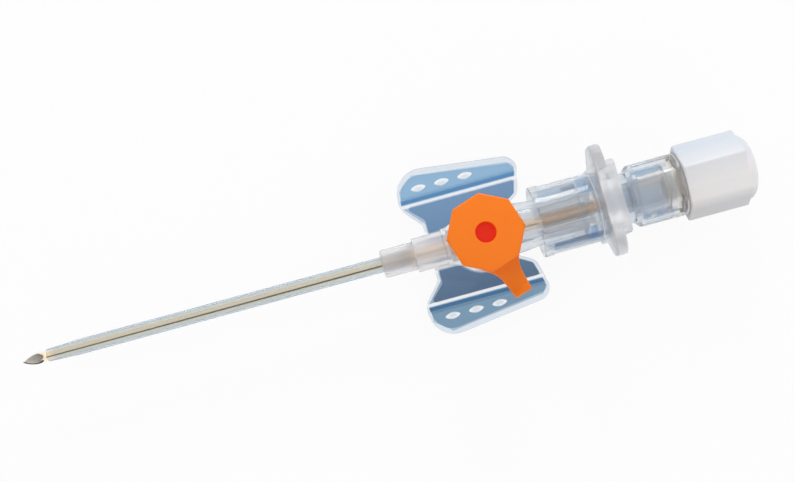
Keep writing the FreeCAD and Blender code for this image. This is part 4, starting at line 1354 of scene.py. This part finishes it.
# Sections of the thumb tab in mm: distance from the port's axis, half width, bottom and top over the axis.
TAB_SECTIONS = (
    (3.6, 3.35, 5.77, 7.12),
    (4.4, 2.85, 5.73, 7.00),
    (5.2, 2.15, 5.68, 6.88),
    (6.0, 1.72, 5.63, 6.76),
    (6.9, 1.50, 5.60, 6.62),
    (8.0, 1.40, 5.54, 6.46),
    (8.85, 1.35, 5.49, 6.34),
    (9.15, 1.33, 5.48, 6.58),
    (9.65, 1.30, 5.46, 6.60),
    (9.85, 1.22, 5.52, 6.50),
)


def make_tab():
    """The thumb tab, drawn out from the skirt: waisted, sloping down, with a lip at its tip."""
    x, half, low, high = [value * MM for value in TAB_SECTIONS[0]]
    clear_selection()
    bpy.ops.mesh.primitive_plane_add(size=1.0, location=(x, 0, AXIS + (low + high) / 2),
                                     rotation=(0, math.pi / 2, 0))
    tab = bpy.context.object
    tab.name = "tab"
    tab.scale = (high - low, half * 2, 1)
    settle(tab)
    bpy.ops.object.mode_set(mode="EDIT")
    bpy.ops.mesh.select_all(action="SELECT")
    for section in TAB_SECTIONS[1:]:
        next_x, next_half, next_low, next_high = [value * MM for value in section]
        shift = Vector((next_x - x, 0, (next_low + next_high - low - high) / 2))
        bpy.ops.mesh.extrude_region_move(TRANSFORM_OT_translate={"value": shift})
        centre = (next_x, 0, AXIS + (next_low + next_high) / 2)
        scale = (1, next_half / half, (next_high - next_low) / (high - low))
        bpy.ops.transform.resize(value=scale, center_override=centre)
        x, half, low, high = next_x, next_half, next_low, next_high
    tidy_mesh()
    soften(tab, 0.18 * MM, sharper_than=45.0)
    return tab


def make_knuckle(sizes):
    """The rounded edge about which the lid flips, with the web that joins it to the skirt."""
    half = sizes.hinge_width / 2
    skirt = -sizes.skirt_bore - 0.3 * MM
    middle = AXIS + sizes.hinge_height
    hinge = -sizes.hinge_reach
    web = slab("web", [(hinge, -half), (skirt, -half), (skirt, half), (hinge, half)],
               middle, middle + sizes.hinge_radius)
    knuckle = cylinder("knuckle", 32, sizes.hinge_radius, sizes.hinge_width,
                       (hinge, 0, middle), (math.pi / 2, 0, 0))
    fuse(knuckle, web)
    return knuckle


class CANNULA_OT_needle(CannulaOperator, bpy.types.Operator):
    """The steel needle with its ground point."""

    bl_idname = "cannula.needle"
    bl_label = "Needle"

    def execute(self, context):
        sizes = context.scene.cannula_tubes
        tip = TUBE_FRONT - sizes.bevel_length
        needle = turn("needle", [
            (tip, sizes.needle_bore),
            (tip, sizes.needle_radius),
            (NEEDLE_REAR, sizes.needle_radius),
            (NEEDLE_REAR, sizes.needle_bore),
        ], closed=True, steps=SMALL)
        slope = math.atan2(2 * sizes.needle_radius, sizes.bevel_length)
        middle = Vector((tip + sizes.bevel_length / 2, 0, AXIS))
        cut(needle, make_grinder("bevel_grinder", middle, slope, 0.0))
        lancet_slope = math.atan2(sizes.needle_radius, sizes.lancet_length)
        point = Vector((tip, 0, AXIS - sizes.needle_radius))
        lancet_roll = math.radians(32.0)
        for side in (1, -1):
            cut(needle, make_grinder("lancet_grinder", point, lancet_slope, side * lancet_roll))
        smooth(needle, 25.0)
        steel = drawn_steel(context.scene.cannula_finish)
        return hand_in(needle, steel, "needle", "steel", "needle_tube")


def make_grinder(name, place, slope, roll):
    """A block whose lower face grinds the needle: it rises to the rear by slope and leans by roll."""
    clear_selection()
    size = 12 * MM
    bpy.ops.mesh.primitive_cube_add(size=size, location=(0, 0, size / 2))
    block = bpy.context.object
    block.name = name
    settle(block)
    block.matrix_world = about_axis(roll) @ Matrix.Translation(place) @ Matrix.Rotation(-slope, 4, "Y")
    settle(block)
    return block


class CANNULA_OT_needle_hub(CannulaOperator, bpy.types.Operator):
    """The clear needle hub with its slotted guard and thumb flange."""

    bl_idname = "cannula.needle_hub"
    bl_label = "Needle hub"

    def execute(self, context):
        sizes = context.scene.cannula_needle_hub
        guard = make_guard(sizes)
        flange, boss = make_flange(sizes)
        fuse(guard, make_core(sizes, context.scene.cannula_hub), flange, boss)
        cut(guard, make_needle_seat(sizes, context.scene.cannula_tubes))
        smooth(guard)
        colours = context.scene.cannula_finish
        clear = clear_plastic("clear_needle_hub", colours.needle_hub, 0.03, colours, flange_haze,
                              NEEDLE_HUB_PAINTED_BANDS)
        return hand_in(guard, clear, "needle", "clear_needle_hub", "needle_hub")


def make_guard(sizes):
    """The guard: a thin sleeve with a front bead and two open slots."""
    inner = sizes.guard_radius - sizes.guard_wall
    outer = sizes.guard_radius + sizes.bead_height
    bead_rear = GUARD_FRONT + sizes.bead_length
    in_flange = sizes.flange_front + 0.5 * MM
    guard = turn("guard_and_flange", [
        (GUARD_FRONT, inner, 0.12 * MM),
        (GUARD_FRONT, outer, 0.15 * MM),
        (bead_rear, outer, 0.07 * MM),
        (bead_rear, sizes.guard_radius, 0.05 * MM),
        (in_flange, sizes.guard_radius),
        (in_flange, inner),
    ], closed=True)
    half = sizes.slot_width / 2
    rear = sizes.flange_front - sizes.slot_wall
    slot = both_sides([(GUARD_FRONT - MM, half), (rear, half, 0.3 * MM)])
    cone = 2.2 * MM
    between = (inner + cone) / 2
    cut(guard, slab("top_slot", slot, AXIS + between, AXIS + outer + MM))
    cut(guard, slab("bottom_slot", slot, AXIS - outer - MM, AXIS - between))
    return guard


def make_flange(sizes):
    """The thumb flange and the boss behind it."""
    right = [
        (sizes.flange_half, sizes.flange_top, sizes.ear_round),
        (sizes.flange_half, sizes.ear_bottom, sizes.low_round),
        (sizes.waist_half, sizes.waist_height, sizes.low_round),
        (sizes.waist_half, -sizes.low_height, sizes.low_round),
        (sizes.bottom_half, -sizes.bottom, sizes.boss_round),
    ]
    left = [(-corner[0],) + corner[1:] for corner in reversed(right)]
    rear = sizes.flange_front + sizes.flange_thick
    flange = slab("flange", right + left, sizes.flange_front, rear, along_x=True, steps=10)
    soften(flange, 0.3 * MM, sharper_than=50.0)
    half = sizes.mark_width / 2
    bottom = sizes.flange_top - sizes.mark_depth
    top = sizes.flange_top + MM
    mark_front = sizes.flange_front + 0.35 * MM
    mark_rear = sizes.flange_front + 0.8 * MM
    for number in range(-2, 3):
        middle = sizes.mark_middle + number * sizes.mark_pitch
        mark = [(middle - half, bottom), (middle + half, bottom), (middle + half, top), (middle - half, top)]
        cut(flange, slab("mark", mark, mark_front, mark_rear, along_x=True))
    boss = slab("boss", [
        (sizes.boss_half, -sizes.boss_bottom, sizes.boss_round),
        (sizes.boss_half, sizes.flange_top, sizes.boss_round),
        (-sizes.boss_half, sizes.flange_top, sizes.boss_round),
        (-sizes.boss_half, -sizes.boss_bottom, sizes.boss_round),
    ], rear - 0.5 * MM, rear + sizes.boss_thick, along_x=True, steps=10)
    soften(boss, 0.2 * MM, sharper_than=50.0)
    return flange, boss


def make_core(sizes, hub_sizes):
    """The cone that seats in the hub's socket, the disc behind it and the neck."""
    front = sizes.flange_front - sizes.male_length
    rear = sizes.flange_front + sizes.flange_thick
    boss_rear = rear + sizes.boss_thick
    disc_radius = sizes.guard_radius - 0.1 * MM
    return turn("core", [
        (front, 0),
        (front, socket_at(hub_sizes, front) - sizes.male_gap, 0.25 * MM),
        (sizes.flange_front, socket_at(hub_sizes, sizes.flange_front) - sizes.male_gap, 0.1 * MM),
        (sizes.flange_front, disc_radius),
        (rear, disc_radius),
        (boss_rear - 0.1 * MM, sizes.neck_front_radius),
        (boss_rear, sizes.neck_front_radius, 0.1 * MM),
        (NECK_REAR, sizes.neck_radius, 0.2 * MM),
        (NECK_REAR, 0),
    ])


def make_needle_seat(sizes, tubes):
    """The needle's seat, the channel behind it and the rear socket."""
    floor = NECK_REAR - sizes.socket_depth
    front = sizes.flange_front - sizes.male_length
    seat_radius = tubes.needle_radius + APART
    return turn("needle_seat", [
        (front - MM, 0),
        (front - MM, seat_radius),
        (sizes.needle_seat, seat_radius),
        (sizes.needle_seat, sizes.flow_radius),
        (floor, sizes.flow_radius),
        (floor, rear_socket_at(sizes, floor)),
        (NECK_REAR + MM, rear_socket_at(sizes, NECK_REAR + MM)),
        (NECK_REAR + MM, 0),
    ], steps=SMALL)


def rear_socket_at(sizes, x):
    """Radius of the needle hub's rear socket at a place along X."""
    return sizes.socket_radius - (NECK_REAR - x) * CONE_RATE


class CANNULA_OT_stopper(CannulaOperator, bpy.types.Operator):
    """The clear vent stopper and its filter disc."""

    bl_idname = "cannula.stopper"
    bl_label = "Vent stopper"

    def execute(self, context):
        sizes = context.scene.cannula_rear
        hub_sizes = context.scene.cannula_hub
        colours = context.scene.cannula_finish
        stopper = make_chamber(sizes, context.scene.cannula_needle_hub)
        fuse(stopper, *make_ribs(sizes))
        fuse(stopper, *make_lugs("post_lug", hub_sizes, POST_REAR - hub_sizes.lug_length))
        cut(stopper, make_ring_gap(sizes), make_flash_bore(sizes))
        smooth(stopper)
        clear = clear_plastic("clear_stopper", colours.stopper, 0.03, colours, chamber_haze, STOPPER_PAINTED_BANDS)
        hand_in(stopper, clear, "stopper", "clear_stopper", "vent_stopper")
        disc_radius = sizes.flash_radius - APART
        disc = turn("vent_filter", [
            (FILTER_FRONT, 0),
            (FILTER_FRONT, disc_radius, 0.06 * MM),
            (FILTER_REAR, disc_radius, 0.06 * MM),
            (FILTER_REAR, 0),
        ], steps=SMALL)
        smooth(disc)
        porous = plain_plastic("filter_plastic", colours.filter, 0.85, 9000.0, 0.2)
        return hand_in(disc, porous, "stopper", "filter", "filter_disc")


def make_chamber(sizes, needle_hub):
    """The turned part of the stopper: nose, chamber bands and post."""
    front = NOSE_FRONT + sizes.nose_length
    rear = front + sizes.chamber_length
    return turn("stopper", [
        (NOSE_FRONT, 0),
        (NOSE_FRONT, rear_socket_at(needle_hub, NOSE_FRONT) - sizes.nose_gap, 0.25 * MM),
        (front, rear_socket_at(needle_hub, front) - sizes.nose_gap, 0.05 * MM),
        (front, sizes.chamber_radius - sizes.front_chamfer, 0.1 * MM),
        (front + sizes.front_chamfer, sizes.chamber_radius, 0.15 * MM),
        (front + sizes.front_band, sizes.chamber_radius, 0.12 * MM),
        (front + sizes.front_band, sizes.core_radius, 0.1 * MM),
        (rear - sizes.rear_band, sizes.core_radius, 0.1 * MM),
        (rear - sizes.rear_band, sizes.chamber_radius, 0.1 * MM),
        (rear, sizes.chamber_radius, 0.15 * MM),
        (rear, sizes.post_radius, 0.1 * MM),
        (POST_REAR, sizes.post_radius, 0.3 * MM),
        (POST_REAR, 0),
    ])


def make_ribs(sizes):
    """Four broad ribs between the chamber's bands."""
    front = NOSE_FRONT + sizes.nose_length + sizes.front_band - 0.3 * MM
    rear = NOSE_FRONT + sizes.nose_length + sizes.chamber_length - sizes.rear_band + 0.3 * MM
    half = sizes.rib_width / 2
    edge = math.sqrt(sizes.chamber_radius ** 2 - half ** 2)
    inner = edge - 1.0 * MM
    outline = [
        (-half, inner),
        (half, inner),
        (half, edge, 0.15 * MM),
        (0, sizes.chamber_radius * 2 - edge, 4.0 * MM),
        (-half, edge, 0.15 * MM),
    ]
    ribs = []
    for number in range(4):
        rib = slab("rib_%d" % number, outline, front, rear, along_x=True)
        rib.matrix_world = about_axis(math.pi / 2 * number)
        settle(rib)
        ribs.append(rib)
    return ribs


def make_ring_gap(sizes):
    """The ring-shaped space round the flash chamber, open at the front."""
    front = NOSE_FRONT + sizes.nose_length
    inner = sizes.flash_radius + sizes.flash_wall
    return turn("ring_gap", [
        (front - MM, inner),
        (front - MM, sizes.gap_radius),
        (FILTER_FRONT, sizes.gap_radius, 0.2 * MM),
        (FILTER_FRONT, inner, 0.2 * MM),
    ], closed=True)


def make_flash_bore(sizes):
    """The bore through nose, flash chamber, filter seat and rear socket."""
    flash_front = NOSE_FRONT + sizes.nose_bore_depth
    flash_rear = FILTER_FRONT - APART
    step = 0.25 * MM
    return turn("flash_bore", [
        (NOSE_FRONT - MM, 0),
        (NOSE_FRONT - MM, sizes.nose_bore),
        (flash_front, sizes.nose_bore),
        (flash_front, sizes.flash_radius - step, 0.2 * MM),
        (flash_rear, sizes.flash_radius - step),
        (flash_rear, sizes.flash_radius),
        (FILTER_REAR, sizes.flash_radius),
        (POST_REAR + MM, sizes.post_socket + 0.03 * MM),
        (POST_REAR + MM, 0),
    ], steps=SMALL)


class CANNULA_OT_lock_cap(CannulaOperator, bpy.types.Operator):
    """The white lock cap."""

    bl_idname = "cannula.lock_cap"
    bl_label = "Lock cap"

    def execute(self, context):
        sizes = context.scene.cannula_rear
        cap = turn("end_cap", [
            (CAP_FRONT, 0),
            (CAP_FRONT, sizes.cap_radius - 0.1 * MM, 0.2 * MM),
            (CAP_REAR, sizes.cap_radius, sizes.end_round),
            (CAP_REAR, 0),
        ])
        fuse(cap, make_grip(sizes))
        floor = CAP_REAR - sizes.cap_end_wall
        nose = CAP_FRONT + sizes.cap_nose_setback
        nose_radius = sizes.post_socket - sizes.nose_gap
        cut(cap, turn("collar_space", [
            (CAP_FRONT - MM, 0),
            (CAP_FRONT - MM, sizes.cap_bore),
            (floor, sizes.cap_bore),
            (floor, nose_radius),
            (nose, nose_radius - 0.2 * MM, 0.2 * MM),
            (nose, 0),
        ]))
        smooth(cap)
        white = white_plastic(context.scene.cannula_finish)
        return hand_in(cap, white, "end_cap", "white", "lock_cap")


def make_grip(sizes):
    """The six-sided grip with rounded edges."""
    corner_radius = sizes.cap_flat / math.cos(math.pi / 6)
    middle = (CAP_FRONT + sizes.grip_length / 2, 0, AXIS)
    grip = cylinder("grip", 6, corner_radius, sizes.grip_length, middle, (0, math.pi / 2, 0))
    grip.matrix_world = about_axis(sizes.grip_turn)
    settle(grip)
    bpy.ops.object.mode_set(mode="EDIT")
    bpy.ops.mesh.select_all(action="DESELECT")
    shape = bmesh.from_edit_mesh(grip.data)
    for edge in shape.edges:
        ends = edge.verts
        edge.select_set(abs(ends[0].co.x - ends[1].co.x) > sizes.grip_length / 2)
    bmesh.update_edit_mesh(grip.data)
    bpy.ops.mesh.bevel(offset=sizes.grip_round, segments=5, affect="EDGES")
    bpy.ops.object.mode_set(mode="OBJECT")
    soften(grip, 0.25 * MM, sharper_than=50.0)
    return grip


class CANNULA_PT_panel(bpy.types.Panel):
    """Lists the operators in the 3D view's sidebar."""

    bl_idname = "CANNULA_PT_panel"
    bl_label = "Cannula"
    bl_space_type = "VIEW_3D"
    bl_region_type = "UI"
    bl_category = "Cannula"

    def draw(self, context):
        for operator in OPERATORS:
            self.layout.operator(operator.bl_idname)


GROUPS = {
    "cannula_tubes": CannulaTubes,
    "cannula_hub": CannulaHub,
    "cannula_cap": CannulaCap,
    "cannula_needle_hub": CannulaNeedleHub,
    "cannula_rear": CannulaRear,
    "cannula_finish": CannulaFinish,
}
OPERATORS = (
    CANNULA_OT_stage,
    CANNULA_OT_catheter,
    CANNULA_OT_hub,
    CANNULA_OT_port_cap,
    CANNULA_OT_needle,
    CANNULA_OT_needle_hub,
    CANNULA_OT_stopper,
    CANNULA_OT_lock_cap,
)


def register():
    for group in GROUPS.values():
        bpy.utils.register_class(group)
    for name, group in GROUPS.items():
        setattr(bpy.types.Scene, name, bpy.props.PointerProperty(type=group))
    for operator in OPERATORS:
        bpy.utils.register_class(operator)
    bpy.utils.register_class(CANNULA_PT_panel)


def unregister():
    bpy.utils.unregister_class(CANNULA_PT_panel)
    for operator in reversed(OPERATORS):
        bpy.utils.unregister_class(operator)
    for name in GROUPS:
        delattr(bpy.types.Scene, name)
    for group in reversed(list(GROUPS.values())):
        bpy.utils.unregister_class(group)


def main():
    """Register the add-on and run its operators, the stage first."""
    register()
    bpy.ops.cannula.stage()
    bpy.ops.cannula.catheter()
    bpy.ops.cannula.hub()
    bpy.ops.cannula.port_cap()
    bpy.ops.cannula.needle()
    bpy.ops.cannula.needle_hub()
    bpy.ops.cannula.stopper()
    bpy.ops.cannula.lock_cap()


if __name__ == "__main__":
    main()
